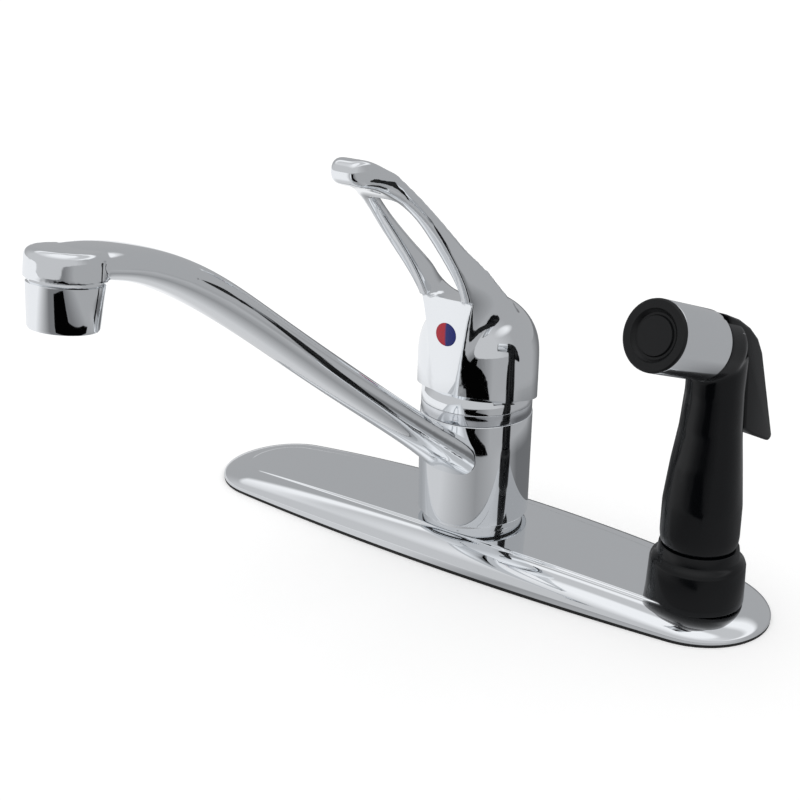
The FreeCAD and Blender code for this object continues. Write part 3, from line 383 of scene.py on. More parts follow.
def bridge_rings(bm, rings, cap=True):
    """Skins a row of rings and closes both ends."""
    for near, far in zip(rings, rings[1:]):
        edges = set(ring_edges(near)) | set(ring_edges(far))
        bmesh.ops.bridge_loops(bm, edges=list(edges))
    if cap:
        for ring in (rings[0], rings[-1]):
            bmesh.ops.contextual_create(bm, geom=ring)


# ---------------------------------------------------------------- deck plate
def outline_arcs(inset=0.0):
    """The plate's outline as four arcs: each one's centre and turn, and where the first one starts."""
    width = PLATE_HALF_WIDTH - inset
    end = PLATE_END_RADIUS - inset
    end_x = PLATE_HALF_LENGTH - PLATE_END_RADIUS
    side = (end_x ** 2 + width ** 2 - end ** 2) / (2 * (width - end))
    centre_y = side - width
    half_turn = math.atan2(end_x, centre_y)
    arcs = ((0.0, centre_y, 2 * half_turn, 40), (end_x, 0.0, math.pi - 2 * half_turn, 40),
            (0.0, -centre_y, 2 * half_turn, 40), (-end_x, 0.0, math.pi - 2 * half_turn, 40))
    return arcs, side, half_turn


def sweep_outline(bm, section, closed):
    """Carries a section of (inset, height) round the plate's outline."""
    arcs, side, half_turn = outline_arcs()
    across = Vector((-math.sin(half_turn), -math.cos(half_turn)))
    centre = Vector((0.0, arcs[0][1]))
    points = []
    for inset, height in section:
        spot = centre + across * (side - inset)
        points.append((spot.x, spot.y, height))
    geom = line_of(bm, points, closed)
    for x, y, angle, steps in arcs:
        swept = bmesh.ops.spin(bm, geom=geom, cent=(x, y, 0), axis=(0, 0, 1), angle=angle, steps=steps)
        geom = swept["geom_last"]
    bmesh.ops.remove_doubles(bm, verts=bm.verts, dist=0.01)


def rolled_section():
    """Flat top, a fine step, the big rolled edge, the lip and the hollow's inside."""
    step_down = ((13.4, 0.0), (12.7, 0.02), (12.3, 0.16), (12.0, 0.4), (11.7, 0.56), (11.3, 0.66))
    outside = [(inset, PLATE_TOP - drop) for inset, drop in step_down]
    roll = 24
    for step in range(roll + 1):
        lean = math.pi / 2 * step / roll
        outside.append((11.0 - 11.0 * math.sin(lean) ** 1.06, 2.2 + 8.7 * math.cos(lean) ** 0.94))
    lip = [(0.0, 1.5), (PLATE_WALL, 1.5)]
    inside = []
    for step in range(9):
        lean = math.pi / 2 * step / 8
        inside.append((11.2 - 9.0 * math.cos(lean), 1.8 + 7.6 * math.sin(lean)))
    return outside + lip + inside + [(13.4, PLATE_TOP - PLATE_WALL)]


def fill_level(bm, height):
    """Closes the open loop that lies at a height."""
    loop = [e for e in bm.edges
            if len(e.link_faces) == 1 and all(abs(v.co.z - height) < 0.001 for v in e.verts)]
    bmesh.ops.contextual_create(bm, geom=loop)


def slice_across(bm, step, reach):
    """Divides the wide flat faces across the plate, so that they can be arched."""
    place = -reach
    while place <= reach:
        flat = [f for f in bm.faces if len(f.verts) > 8]
        geom = flat + list({e for f in flat for e in f.edges}) + list({v for f in flat for v in f.verts})
        bmesh.ops.bisect_plane(bm, geom=geom, plane_co=(place, 0, 0), plane_no=(1, 0, 0), dist=0.001)
        place += step


def arch_plate(bm):
    """Lowers the plate towards both ends along its arch, the gasket's level kept."""
    for vert in bm.verts:
        drop = PLATE_ARCH - math.sqrt(PLATE_ARCH ** 2 - vert.co.x ** 2)
        share = (PLATE_TOP - drop - 1.0) / (PLATE_TOP - 1.0)
        vert.co.z = 1.0 + (vert.co.z - 1.0) * share


def make_deck_plate():
    bm = bmesh.new()
    sweep_outline(bm, rolled_section(), closed=False)
    fill_level(bm, PLATE_TOP)
    fill_level(bm, PLATE_TOP - PLATE_WALL)
    slice_across(bm, 5.0, 120.0)
    arch_plate(bm)
    piece = finish_mesh(bm, "deck_plate_shell", CHROME, 50.0)
    place_piece(piece, "base", "chrome", "deck_plate")


def make_deck_gasket():
    bm = bmesh.new()
    section = [(0.1, 0.0), (0.1, 1.45), (2.1, 1.45), (2.3, 1.0), (6.3, 1.0), (6.3, 0.0)]
    sweep_outline(bm, section, closed=True)
    piece = finish_mesh(bm, "rim_gasket", RUBBER)
    place_piece(piece, "base", "black_rubber", "deck_gasket")


# ---------------------------------------------------------------- body stack
def make_body_stack():
    section = ring_profile(17.2, 20.8, FOOT_BOTTOM, FOOT_TOP)
    ring = turned_piece("foot_ring", section, CHROME, 0.35)
    place_piece(ring, "base", "chrome", "base_ring")
    section = ring_profile(POST_CLEAR, 21.1, FOOT_TOP, COLLAR_BOTTOM - 0.1)
    seam = turned_piece("foot_glide_ring", section, DARK_RING, 0.1)
    place_piece(seam, "base", "dark_nylon", "lower_glide_ring")
    section = ring_profile(16.2, 22.7, COLLAR_TOP + 0.1, BONNET_FOOT - 0.1)
    guide = turned_piece("top_glide_ring", section, GREY_RING, 0.3)
    place_piece(guide, "base", "grey_nylon", "upper_glide_ring")
    make_bonnet()


def make_bonnet():
    profile = [(16.1, BONNET_FOOT), (BONNET_RADIUS, BONNET_FOOT)]
    start = math.acos(BONNET_RADIUS / BONNET_BALL)
    end = math.asin((BONNET_TOP - PIVOT_Z) / BONNET_BALL)
    for step in range(13):
        rise = start + (end - start) * step / 12
        profile.append((BONNET_BALL * math.cos(rise), PIVOT_Z + BONNET_BALL * math.sin(rise)))
    profile += [(13.0, BONNET_TOP), (13.0, 73.4), (19.8, 70.2), (16.1, 70.1)]
    piece = turned_piece("bonnet_cap", profile, CHROME, 0.0)
    place_piece(piece, "base", "chrome", "bonnet")


# ---------------------------------------------------------------- spout
# Arm stations: y, top, underside, half width, how high the widest line lies in the section, how square
# the section is (1 for an ellipse, less for a squarer one), and how much narrower its underside is
ARM = ((-14.0, 49.4, 30.4, 13.2, 0.42, 0.62, 0.24), (-19.0, 53.2, 34.4, 13.0, 0.42, 0.62, 0.24),
       (-24.0, 56.8, 38.6, 12.5, 0.42, 0.62, 0.24), (-34.0, 63.6, 46.6, 11.0, 0.43, 0.64, 0.24),
       (-50.0, 74.6, 58.9, 9.8, 0.44, 0.66, 0.24), (-75.0, 92.6, 77.0, 9.2, 0.44, 0.68, 0.24),
       (-105.0, 114.4, 99.0, 9.1, 0.44, 0.7, 0.24), (-130.0, 132.8, 118.2, 9.3, 0.44, 0.7, 0.22),
       (-150.0, 147.8, 132.9, 9.6, 0.45, 0.7, 0.18), (-166.0, 157.4, 143.6, 10.0, 0.46, 0.7, 0.14),
       (-180.0, 163.5, 151.4, 10.5, 0.48, 0.7, 0.1), (-192.0, 167.1, 156.4, 10.9, 0.5, 0.72, 0.06),
       (-203.0, 168.9, 158.8, 11.2, 0.5, 0.76, 0.04), (-212.0, 169.3, 160.8, 10.4, 0.5, 0.9, 0.0))


def squared(value, power):
    return math.copysign(abs(value) ** power, value)


def arm_ring(bm, y, top, under, half_width, widest, power, narrowing):
    """A loaf-shaped ring: a circle made squarer, that narrows below its widest line."""
    verts = ring_at(bm, Matrix.Rotation(math.pi / 2, 4, "X"), 24)
    middle = under + widest * (top - under)
    for vert in verts:
        across, rise = squared(vert.co.x, power), squared(vert.co.z, power)
        if rise >= 0:
            height = middle + (top - middle) * rise
            width = half_width * across
        else:
            height = middle + (middle - under) * rise
            width = half_width * across * (1 + narrowing * rise)
        vert.co = Vector((width, y, height))
    return verts


def outlet_matrix():
    return Matrix.Translation((0, OUTLET_Y, OUTLET_Z)) @ Matrix.Rotation(-OUTLET_TILT, 4, "X")


def arm_cage():
    """The arm as a row of rings, closed flat inside the collar."""
    bm = bmesh.new()
    bridge_rings(bm, [arm_ring(bm, *station) for station in ARM])
    bmesh.ops.recalc_face_normals(bm, faces=bm.faces)
    cut_away(bm, (0, ARM_ROOT_Y, 0), (0, 1, 0))
    return bm


def outlet_head():
    """The upright drum at the arm's end, with a well rounded top."""
    profile = [(0.0, 0.1), (11.3, 0.1), (11.5, 0.3), (11.5, 6.0)]
    for step in range(1, 7):
        rise = math.pi / 2 * step / 6
        profile.append((9.0 + 2.5 * math.cos(rise), 6.0 + 2.5 * math.sin(rise)))
    bm = bmesh.new()
    turn(bm, profile + [(0.0, 8.8)], steps=64, closed=False)
    bmesh.ops.transform(bm, matrix=outlet_matrix(), verts=bm.verts)
    bmesh.ops.recalc_face_normals(bm, faces=bm.faces)
    return bm


def make_spout():
    cage = joined("arm_cage", arm_cage())
    smooth = cage.modifiers.new("rounding", "SUBSURF")
    smooth.levels = smooth.render_levels = 3
    bake_modifiers(cage)
    casting = joined("arm_casting", as_bmesh(cage), outlet_head())
    cast_together(casting, 0.5, 4)
    piece = finish_mesh(as_bmesh(casting), "spout_arm", CHROME, 60.0)
    place_piece(piece, "swivel_spout", "chrome", "spout")
    section = ring_profile(POST_CLEAR, COLLAR_RADIUS, COLLAR_BOTTOM, COLLAR_TOP)
    collar = turned_piece("spout_collar", section, CHROME, 0.35)
    place_piece(collar, "swivel_spout", "chrome")


def make_aerator():
    profile = [(10.2, 0.0), (10.3, -0.6), (10.75, -1.0), (10.75, -1.6), (9.9, -13.0), (9.5, -13.7),
               (8.9, -13.9), (7.3, -13.9), (7.3, -12.7), (8.4, -12.7), (8.4, 0.0)]
    shell = turned_piece("aerator_housing", profile, CHROME, 0.0, outlet_matrix())
    place_piece(shell, "swivel_spout", "chrome", "aerator_shell")


# ---------------------------------------------------------------- handle
# Ribs of the neck and lever: front or underside (y, z), back or top (y, z), half width in front and
# behind, half width of the loop's opening, and how far the back lies lower between its two sides
RIBS = (
    ((-24.3, 66.0), (-2.0, 66.0), 5.6, 20.0, 3.6, 0.0),
    ((-24.5, 80.0), (2.0, 84.0), 7.0, 21.0, 4.4, 0.0),
    ((-24.7, 94.0), (4.0, 97.0), 9.2, 19.0, 6.0, 0.0),
    ((-24.9, 104.0), (1.0, 106.6), 10.4, 17.6, 7.0, 3.0),
    ((-26.0, 110.6), (-11.6, 118.2), 11.6, 15.8, 7.8, 8.6),
    ((-32.1, 120.2), (-21.0, 125.8), 12.9, 14.3, 7.8, 4.0),
    ((-39.5, 129.2), (-32.0, 133.8), 13.6, 13.9, 7.6, 3.2),
    ((-47.6, 138.4), (-42.0, 142.4), 14.0, 14.0, 7.6, 2.8),
    ((-54.6, 146.0), (-50.6, 149.8), 13.4, 13.6, 7.4, 2.4),
    ((-60.6, 151.8), (-57.6, 156.2), 12.2, 12.8, 6.6, 2.0),
    ((-66.0, 156.2), (-64.2, 161.8), 11.0, 11.8, 5.0, 1.4),
    ((-73.0, 160.4), (-71.6, 167.8), 9.8, 10.6, 4.8, 0.5),
    ((-79.6, 163.0), (-79.0, 172.6), 8.6, 9.0, 4.2, 0.0),
    ((-85.8, 164.4), (-85.6, 174.2), 7.2, 7.2, 3.6, 0.0),
    ((-90.2, 166.6), (-90.2, 172.4), 4.8, 4.8, 2.4, 0.0),
)
SLOT_FIRST = 4
SLOT_LAST = 10


def rib_row(bm, front, back, half_front, half_back, inner, scoop):
    """Eight corners of a rib: front and back at the outer and inner places across it."""
    row = []
    for (y, z), half, dip in ((front, half_front, 0.0), (back, half_back, scoop)):
        for x in (-half, -inner, inner, half):
            row.append(bm.verts.new((x, y, z - dip if abs(x) == inner else z)))
    return row


def lever_cage():
    """The neck and the lever as a coarse cage, open through its loop."""
    bm = bmesh.new()
    rows = [rib_row(bm, *rib) for rib in RIBS]
    for index, (near, far) in enumerate(zip(rows, rows[1:])):
        open_here = SLOT_FIRST <= index < SLOT_LAST
        for first in (0, 1, 2, 4, 5, 6):
            if not (open_here and first in (1, 5)):
                bm.faces.new((near[first], near[first + 1], far[first + 1], far[first]))
        for first in (0, 3):
            bm.faces.new((near[first], far[first], far[first + 4], near[first + 4]))
        if open_here:
            for first in (1, 2):
                bm.faces.new((near[first], far[first], far[first + 4], near[first + 4]))
    for row in (rows[0], rows[-1]):
        for first in (0, 1, 2):
            bm.faces.new((row[first], row[first + 1], row[first + 5], row[first + 4]))
    for row in (rows[SLOT_FIRST], rows[SLOT_LAST]):
        bm.faces.new((row[1], row[2], row[6], row[5]))
    bmesh.ops.recalc_face_normals(bm, faces=bm.faces)
    long_edges = [e for e in bm.edges if e.calc_face_angle(0.0) > math.radians(40) and
                  all(v.co.y > -72 for v in e.verts)]
    bmesh.ops.bevel(bm, geom=long_edges, offset=1.0, offset_type="OFFSET", affect="EDGES", segments=2,
                    profile=0.5, material=-1, clamp_overlap=True)
    return bm


def dome_solid(bm):
    profile = [(0.0, 58.0), (SKIRT_RADIUS, 58.0), (SKIRT_RADIUS, DOME_CENTRE_Z)]
    for step in range(1, 13):
        rise = math.pi / 2 * step / 12
        profile.append((SKIRT_RADIUS * math.cos(rise), DOME_CENTRE_Z + DOME_RISE * math.sin(rise)))
    turn(bm, profile, steps=64, closed=False)
    bmesh.ops.recalc_face_normals(bm, faces=bm.faces)


def joined(name, *meshes):
    """One object from several bmeshes."""
    pile = bmesh.new()
    for bm in meshes:
        mesh = bpy.data.meshes.new("part")
        bm.to_mesh(mesh)
        bm.free()
        pile.from_mesh(mesh)
        bpy.data.meshes.remove(mesh)
    mesh = bpy.data.meshes.new(name)
    pile.to_mesh(mesh)
    pile.free()
    piece = bpy.data.objects.new(name, mesh)
    bpy.context.scene.collection.objects.link(piece)
    return piece


def cast_together(piece, voxel_mm, passes):
    """Melts overlapping solids into one skin and smooths it, as a polished casting is."""
    remesh = piece.modifiers.new("cast", "REMESH")
    remesh.mode = "VOXEL"
    remesh.voxel_size = voxel_mm
    smooth = piece.modifiers.new("polish", "SMOOTH")
    smooth.factor = 0.5
    smooth.iterations = passes
    bake_modifiers(piece)


def cut_away(bm, point, normal):
    """Removes what lies on the normal's side of a plane and closes the cut flat."""
    geom = list(bm.verts) + list(bm.edges) + list(bm.faces)
    cut = bmesh.ops.bisect_plane(bm, geom=geom, plane_co=point, plane_no=normal, clear_outer=True,
                                 dist=0.001)
    edges = [g for g in cut["geom_cut"] if isinstance(g, bmesh.types.BMEdge)]
    bmesh.ops.contextual_create(bm, geom=edges)


def press_facet(bm, top):
    """Grinds the flat in front, up to the lever's underside, and breaks its edge."""
    ground = [v for v in bm.verts if v.co.y < FACET_Y and v.co.z < top]
    for vert in ground:
        vert.co.y = FACET_Y
    rim = {v for g in ground for e in g.link_edges for v in e.verts}
    rim = [v for v in rim if any(abs(e.other_vert(v).co.y - FACET_Y) > 0.01 for e in v.link_edges)]
    rub_smooth(bm, rim, 3)


def blend_shoulders(bm, passes):
    """Polishes the corners where the lever's sides run into the dome, more towards their middle."""
    for step in range(10):
        low, high, front = 74 + step, 121 - 1.1 * step, -26.0 + 0.8 * step
        band = [v for v in bm.verts if v.co.y > front and abs(v.co.x) > 4.0 and low < v.co.z < high]
        rub_smooth(bm, band, passes)


def hollow_skirt(piece):
    """Cuts the ball-shaped hollow that lets the skirt turn and tip over the bonnet."""
    profile = []
    for step in range(33):
        rise = math.pi * step / 32 - math.pi / 2
        profile.append((SKIRT_HOLLOW * math.cos(rise), PIVOT_Z + SKIRT_HOLLOW * math.sin(rise)))
    ball = bmesh.new()
    turn(ball, profile, steps=96, closed=False)
    bmesh.ops.recalc_face_normals(ball, faces=ball.faces)
    cutter = joined("skirt_hollow", ball)
    hollow = piece.modifiers.new("hollow", "BOOLEAN")
    hollow.operation = "DIFFERENCE"
    hollow.solver = "EXACT"
    hollow.object = cutter
    bake_modifiers(piece)
    bpy.data.objects.remove(cutter)


def make_handle():
    lever = joined("lever_part", lever_cage())
    smooth = lever.modifiers.new("rounding", "SUBSURF")
    smooth.levels = smooth.render_levels = 2
    bake_modifiers(lever)
    dome = bmesh.new()
    dome_solid(dome)
    body = joined("handle_body", dome, as_bmesh(lever))
    cast_together(body, 0.6, 12)
    bm = as_bmesh(body)
    blend_shoulders(bm, 8)
    press_facet(bm, FACET_TOP)
    cut_away(bm, (0, 0, SKIRT_LEVEL), (0, -math.sin(SKIRT_SLANT), -math.cos(SKIRT_SLANT)))
    shell = joined("handle_shell", bm)
    hollow_skirt(shell)
    piece = finish_mesh(as_bmesh(shell), "lever_handle", CHROME, 40.0)
    place_piece(piece, "lever", "chrome", "handle")


def make_index_button():
    bm = bmesh.new()
    profile = [(0.0, 0.0), (4.7, 0.0), (4.7, 0.4), (4.4, 0.7), (2.8, 0.95), (0.0, 1.05)]
    turn(bm, profile, closed=False)
    at = Matrix.Translation((0, FACET_Y + 0.4, BUTTON_Z)) @ Matrix.Rotation(math.pi / 2, 4, "X")
    bmesh.ops.transform(bm, matrix=at, verts=bm.verts)
    piece = finish_mesh(bm, "index_disc", INDEX)
    place_piece(piece, "lever", "index_button", "index_button")


# ---------------------------------------------------------------- side spray
def spray_matrix():
    """From the spray's own frame, head towards -Y, to its place on the deck."""
    return Matrix.Translation((SPRAY_X, 0, 0)) @ Matrix.Rotation(SPRAY_TURN, 4, "Z")


def head_matrix():
    """From a shape drawn along +Z to the head's axis."""
    lean = Matrix.Rotation(math.pi / 2 - HEAD_TILT, 4, "X")
    return spray_matrix() @ Matrix.Translation((0, 0, HEAD_CROSSING_Z)) @ lean


def make_spray_holder():
    profile = [(10.6, -36.0), (13.0, -36.0), (13.0, 6.4), (18.6, 6.4), (18.6, 9.0), (18.1, 21.4),
               (17.6, 22.6), (16.6, 23.4), (15.6, 24.4), (15.0, 28.4), (12.2, 28.6), (12.2, 14.0),
               (10.6, 14.0)]
    holder = turned_piece("spray_cradle", profile, BLACK, 0.3, x=SPRAY_X)
    place_piece(holder, "base", "black_plastic", "spray_holder")


# Wand stations: height, radius, and how far its middle lies ahead of the axis
WAND = ((28.7, 13.9, 0.4), (29.6, 14.5, 0.4), (33.0, 14.9, 0.5), (46.0, 14.8, 0.8), (62.0, 13.2, 0.8),
        (76.0, 11.5, 0.4), (90.0, 10.7, 0.2), (104.0, 10.9, 0.4))


def make_spray_wand():
    bm = bmesh.new()
    rings = []
    for height, radius, ahead in WAND:
        at = Matrix.Translation((0, -ahead, height)) @ Matrix.Scale(radius, 4)
        rings.append(ring_at(bm, at, 48))
    bridge_rings(bm, rings)
    core = bmesh.new()
    profile = [(0.0, -3.5), (7.0, -3.0), (11.0, -1.0), (12.3, 2.0), (12.3, 12.5), (0.0, 12.5)]
    turn(core, profile, steps=64, closed=False)
    lean = Matrix.Translation((0, 0, HEAD_CROSSING_Z)) @ Matrix.Rotation(math.pi / 2 - HEAD_TILT, 4, "X")
    bmesh.ops.transform(core, matrix=lean, verts=core.verts)
    body = joined("wand_body", bm, core)
    cast_together(body, 0.8, 6)
    bm = as_bmesh(body)
    bmesh.ops.transform(bm, matrix=spray_matrix(), verts=bm.verts)
    piece = finish_mesh(bm, "spray_grip", BLACK, 40.0)
    place_piece(piece, "side_spray", "black_plastic", "spray_wand")


def make_spray_band():
    profile = [(11.2, 12.6), (12.6, 12.6), (12.85, 12.9), (12.85, 40.2), (12.7, 40.6), (11.2, 40.6)]
    band = turned_piece("chrome_band", profile, BAND_CHROME, 0.0, head_matrix())
    place_piece(band, "side_spray", "chromed_plastic", "spray_band")


def make_spray_face():
    profile = [(0.0, 34.0), (11.0, 34.0), (11.0, 40.6), (12.7, 40.6), (12.85, 41.0), (12.75, 41.6),
               (12.2, 42.0), (9.4, 42.0), (8.9, 41.2), (8.1, 40.6), (7.3, 40.6), (6.9, 41.3), (0.0, 41.5)]
    bm = bmesh.new()
    turn(bm, profile, steps=96, closed=False)
    bmesh.ops.transform(bm, matrix=head_matrix(), verts=bm.verts)
    piece = finish_mesh(bm, "nozzle_plate", NOZZLE_BLACK, 30.0)
    place_piece(piece, "side_spray", "black_plastic", "spray_face")


# Trigger's side view, as (ahead, height): its back edge down to the free end, then its front edge up
TRIGGER_BACK = ((7.3, 121.6), (-0.7, 118.2), (-8.0, 113.6), (-13.4, 108.6), (-17.2, 102.4), (-20.8, 92.4),
                (-25.4, 79.6), (-30.2, 66.4))
TRIGGER_FRONT = ((-28.4, 64.4), (-16.8, 70.0), (-10.6, 74.0), (-7.5, 100.6), (-5.0, 108.4), (0.5, 109.4),
                 (4.2, 111.4), (5.4, 115.0))


def make_spray_trigger():
    bm = bmesh.new()
    half = 7.4
    outline = [bm.verts.new((-half, -ahead, height)) for ahead, height in TRIGGER_BACK + TRIGGER_FRONT]
    side = bm.faces.new(outline)
    pushed = bmesh.ops.extrude_face_region(bm, geom=[side])
    moved = [v for v in pushed["geom"] if isinstance(v, bmesh.types.BMVert)]
    bmesh.ops.translate(bm, vec=(2 * half, 0, 0), verts=moved)
    soften(bm, 1.2, 4, 40.0)
    bmesh.ops.transform(bm, matrix=spray_matrix(), verts=bm.verts)
    piece = finish_mesh(bm, "squeeze_trigger", BLACK, 40.0)
    place_piece(piece, "trigger", "black_plastic", "spray_trigger")


# ---------------------------------------------------------------- studio
def degrees_of(tree, across, ahead):
    """The compass angle of a place or direction as 0 to 1, -180 to 180 degrees from the front."""
    back = add_node(tree, "ShaderNodeMath", {"operation": "MULTIPLY", 1: -1.0}, {0: ahead})
    angle = add_node(tree, "ShaderNodeMath", {"operation": "ARCTAN2"}, {0: across, 1: back.outputs[0]})
    span = {"From Min": -math.pi, "From Max": math.pi}
    return add_node(tree, "ShaderNodeMapRange", span, {"Value": angle.outputs[0]}).outputs["Result"]


def shade_ramp(tree, value, stops, low, high):
    """Greys, as sRGB levels, along a value that runs from 0 to 1 for low to high."""
    ramp = add_node(tree, "ShaderNodeValToRGB", links={"Fac": value})
    stops = [((place - low) / (high - low), linear("%02x%02x%02x" % (level, level + 1, level + 3)))
             for place, level in stops]
    first, last = ramp.color_ramp.elements[0], ramp.color_ramp.elements[1]
    first.position, first.color = stops[0]
    last.position, last.color = stops[-1]
    for position, colour in stops[1:-1]:
        ramp.color_ramp.elements.new(position).color = colour
    return ramp.outputs["Color"]


# The studio as polished metal sees it on the floor, in a few round tones: a key panel on the left, the
# dim side where the camera stands, a fill panel on the right and the dark end behind. These greys are a
# painted
# reflection: the floor glows in them only for glossy rays. Each stop is degrees from the front,
# towards the side spray, and the grey there, near the faucet and farther out
DARK, DIM, FILL, KEY = 110, 150, 180, 210
FAR_DARK, FAR_FILL, FAR_KEY = 120, 170, 245
NEAR_TONES = ((-180, DARK), (-120, DARK), (-90, KEY), (-30, KEY), (36, DIM), (80, FILL),
              (120, DARK), (180, DARK))
FAR_TONES = ((-180, FAR_DARK), (-145, FAR_DARK), (-130, FAR_KEY), (-30, FAR_KEY), (0, FAR_DARK),
             (36, FAR_DARK), (60, FAR_FILL), (150, FAR_FILL), (180, FAR_DARK))


def make_floor():
    """Pale studio floor: white to the camera, with the faucet's shadow kept, and a painted reflection in
    graded greys that only glossy rays see.
    """
    bm = bmesh.new()
    bmesh.ops.create_grid(bm, x_segments=1, y_segments=1, size=3000.0)
    material = bpy.data.materials.new("studio_floor")
    material.use_nodes = True
    tree = material.node_tree
    tree.nodes.clear()
    path = add_node(tree, "ShaderNodeLightPath")
    matte = add_node(tree, "ShaderNodeBsdfDiffuse", {"Color": linear("e8e8e8")})
    glow = add_node(tree, "ShaderNodeMath", {"operation": "MULTIPLY", 1: FLOOR_GLOW},
                    {0: path.outputs["Is Camera Ray"]})
    lamp = add_node(tree, "ShaderNodeEmission", {"Color": linear("ffffff")}, {"Strength": glow.outputs[0]})
    paper = add_node(tree, "ShaderNodeAddShader", links={0: matte.outputs[0], 1: lamp.outputs[0]})
    place = add_node(tree, "ShaderNodeTexCoord")
    axes = add_node(tree, "ShaderNodeSeparateXYZ", links={"Vector": place.outputs["Object"]})
    turned_to = degrees_of(tree, axes.outputs["X"], axes.outputs["Y"])
    reach = add_node(tree, "ShaderNodeVectorMath", {"operation": "LENGTH"}, {0: place.outputs["Object"]})
    far = add_node(tree, "ShaderNodeMapRange", {"From Min": NEAR_REACH * MM, "From Max": FAR_REACH * MM},
                   {"Value": reach.outputs["Value"]})
    tones = add_node(tree, "ShaderNodeMix", {"data_type": "RGBA"}, {"Factor": far.outputs["Result"]})
    tree.links.new(shade_ramp(tree, turned_to, NEAR_TONES, -180, 180), tones.inputs[6])
    tree.links.new(shade_ramp(tree, turned_to, FAR_TONES, -180, 180), tones.inputs[7])
    # Glossy rays see the floor glow in these greys: a painted reflection of the studio, not light that falls
    # on the floor.
    painted_reflection = add_node(tree, "ShaderNodeEmission", {"Strength": 1.0}, {"Color": tones.outputs[2]})
    seen = add_node(tree, "ShaderNodeMixShader", links={0: path.outputs["Is Glossy Ray"], 1: paper.outputs[0],
                                                        2: painted_reflection.outputs[0]})
    add_node(tree, "ShaderNodeOutputMaterial", links={"Surface": seen.outputs[0]})
    finish_mesh(bm, "floor", material)


def make_card(name, corners, hex_colour, height):
    """A flat glowing card that lies low over the floor, which only polished surfaces see: a painted
    reflection, hidden from the camera, from shadows and from other light.
    """
    bm = bmesh.new()
    bm.faces.new([bm.verts.new((x, y, height)) for x, y in corners])
    material = bpy.data.materials.new(name)
    material.use_nodes = True
    tree = material.node_tree
    tree.nodes.clear()
    glow = add_node(tree, "ShaderNodeEmission", {"Color": linear(hex_colour), "Strength": 1.0})
    add_node(tree, "ShaderNodeOutputMaterial", links={"Surface": glow.outputs[0]})
    card = finish_mesh(bm, name, material)
    card.visible_camera = False
    card.visible_diffuse = False
    card.visible_shadow = False
    card.visible_transmission = False


def make_cards():
    # A near-black card that only glossy rays see: a painted dark reflection in the chrome, where nothing dark
    # stands in the room.
    make_card("painted_dark_reflection_card", ((49, -196), (151, -98), (185, -150), (205, -340), (911, -1302), (260, -1250),
                            (69, -450)), "030303", 0.6)


# The tent above the floor: degrees up, and the grey there. Behind: a grey wall, a light strip, a grey
# strip and the bright roof; in front: an even wall that brightens to the roof
WALL, STRIP, ROOF = 170, 200, 250
BACK_TONES = ((-90, WALL), (35, WALL), (40, ROOF), (45, ROOF), (50, STRIP), (65, STRIP),
              (70, ROOF), (90, ROOF))
FRONT_TONES = ((-90, STRIP), (40, STRIP), (70, ROOF), (90, ROOF))


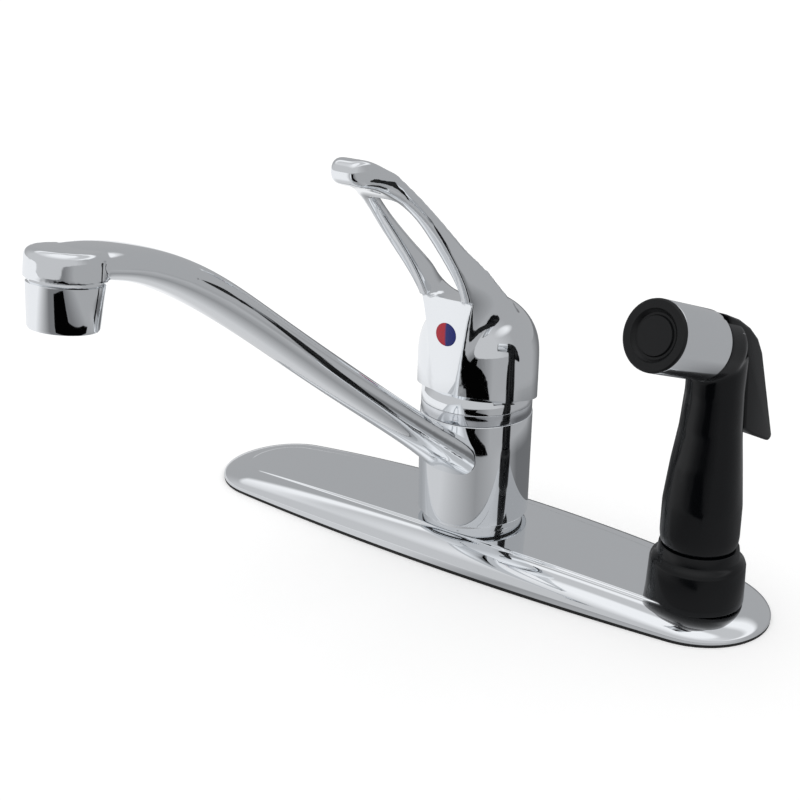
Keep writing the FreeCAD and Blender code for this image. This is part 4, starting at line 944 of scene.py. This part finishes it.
def make_world():
    """A white tent: white behind the faucet, and graded walls for what chrome reflects."""
    world = bpy.data.worlds.new("studio_tent")
    bpy.context.scene.world = world
    world.use_nodes = True
    tree = world.node_tree
    tree.nodes.clear()
    place = add_node(tree, "ShaderNodeTexCoord")
    axes = add_node(tree, "ShaderNodeSeparateXYZ", links={"Vector": place.outputs["Generated"]})
    rise = add_node(tree, "ShaderNodeMath", {"operation": "ARCSINE"}, {0: axes.outputs["Z"]})
    span = {"From Min": -math.pi / 2, "From Max": math.pi / 2}
    rise = add_node(tree, "ShaderNodeMapRange", span, {"Value": rise.outputs[0]}).outputs["Result"]
    blend = {"From Min": -HORIZON_BLEND, "From Max": HORIZON_BLEND}
    side = add_node(tree, "ShaderNodeMapRange", blend, {"Value": axes.outputs["Y"]})
    walls = add_node(tree, "ShaderNodeMix", {"data_type": "RGBA"}, {"Factor": side.outputs["Result"]})
    tree.links.new(shade_ramp(tree, rise, FRONT_TONES, -90, 90), walls.inputs[6])
    tree.links.new(shade_ramp(tree, rise, BACK_TONES, -90, 90), walls.inputs[7])
    path = add_node(tree, "ShaderNodeLightPath")
    tent = add_node(tree, "ShaderNodeBackground", {"Strength": 1.0}, {"Color": walls.outputs[2]})
    plain = add_node(tree, "ShaderNodeBackground", {"Color": linear("ffffff"), "Strength": 0.95})
    white = add_node(tree, "ShaderNodeBackground", {"Color": linear("ffffff"), "Strength": 1.0})
    soft = add_node(tree, "ShaderNodeMixShader", links={0: path.outputs["Is Glossy Ray"], 1: plain.outputs[0],
                                                        2: tent.outputs[0]})
    seen = add_node(tree, "ShaderNodeMixShader", links={0: path.outputs["Is Camera Ray"], 1: soft.outputs[0],
                                                        2: white.outputs[0]})
    add_node(tree, "ShaderNodeOutputWorld", links={"Surface": seen.outputs[0]})


def make_camera():
    flat = math.cos(CAMERA_ELEVATION)
    back = Vector((flat * math.sin(CAMERA_AZIMUTH), -flat * math.cos(CAMERA_AZIMUTH),
                   math.sin(CAMERA_ELEVATION)))
    right = Vector((math.cos(CAMERA_AZIMUTH), math.sin(CAMERA_AZIMUTH), 0))
    up = back.cross(right)
    lean_right = right * math.cos(CAMERA_ROLL) + up * math.sin(CAMERA_ROLL)
    lean_up = up * math.cos(CAMERA_ROLL) - right * math.sin(CAMERA_ROLL)
    camera = bpy.data.objects.new("camera", bpy.data.cameras.new("camera"))
    bpy.context.scene.collection.objects.link(camera)
    turned = Matrix((lean_right, lean_up, back)).transposed().to_4x4()
    camera.matrix_world = Matrix.Translation((CAMERA_TARGET + back * CAMERA_DISTANCE) * MM) @ turned
    camera.data.lens = CAMERA_LENS
    camera.data.sensor_width = SENSOR_WIDTH
    camera.data.clip_start = 0.01
    bpy.context.scene.camera = camera


# ---------------------------------------------------------------- the whole
dress_kept_nodes()
make_deck_plate()
make_deck_gasket()
make_body_stack()
make_spout()
make_aerator()
make_handle()
make_index_button()
make_spray_holder()
make_spray_wand()
make_spray_band()
make_spray_face()
make_spray_trigger()
make_floor()
make_cards()
make_world()
make_camera()
bpy.context.scene.view_settings.view_transform = "Standard"
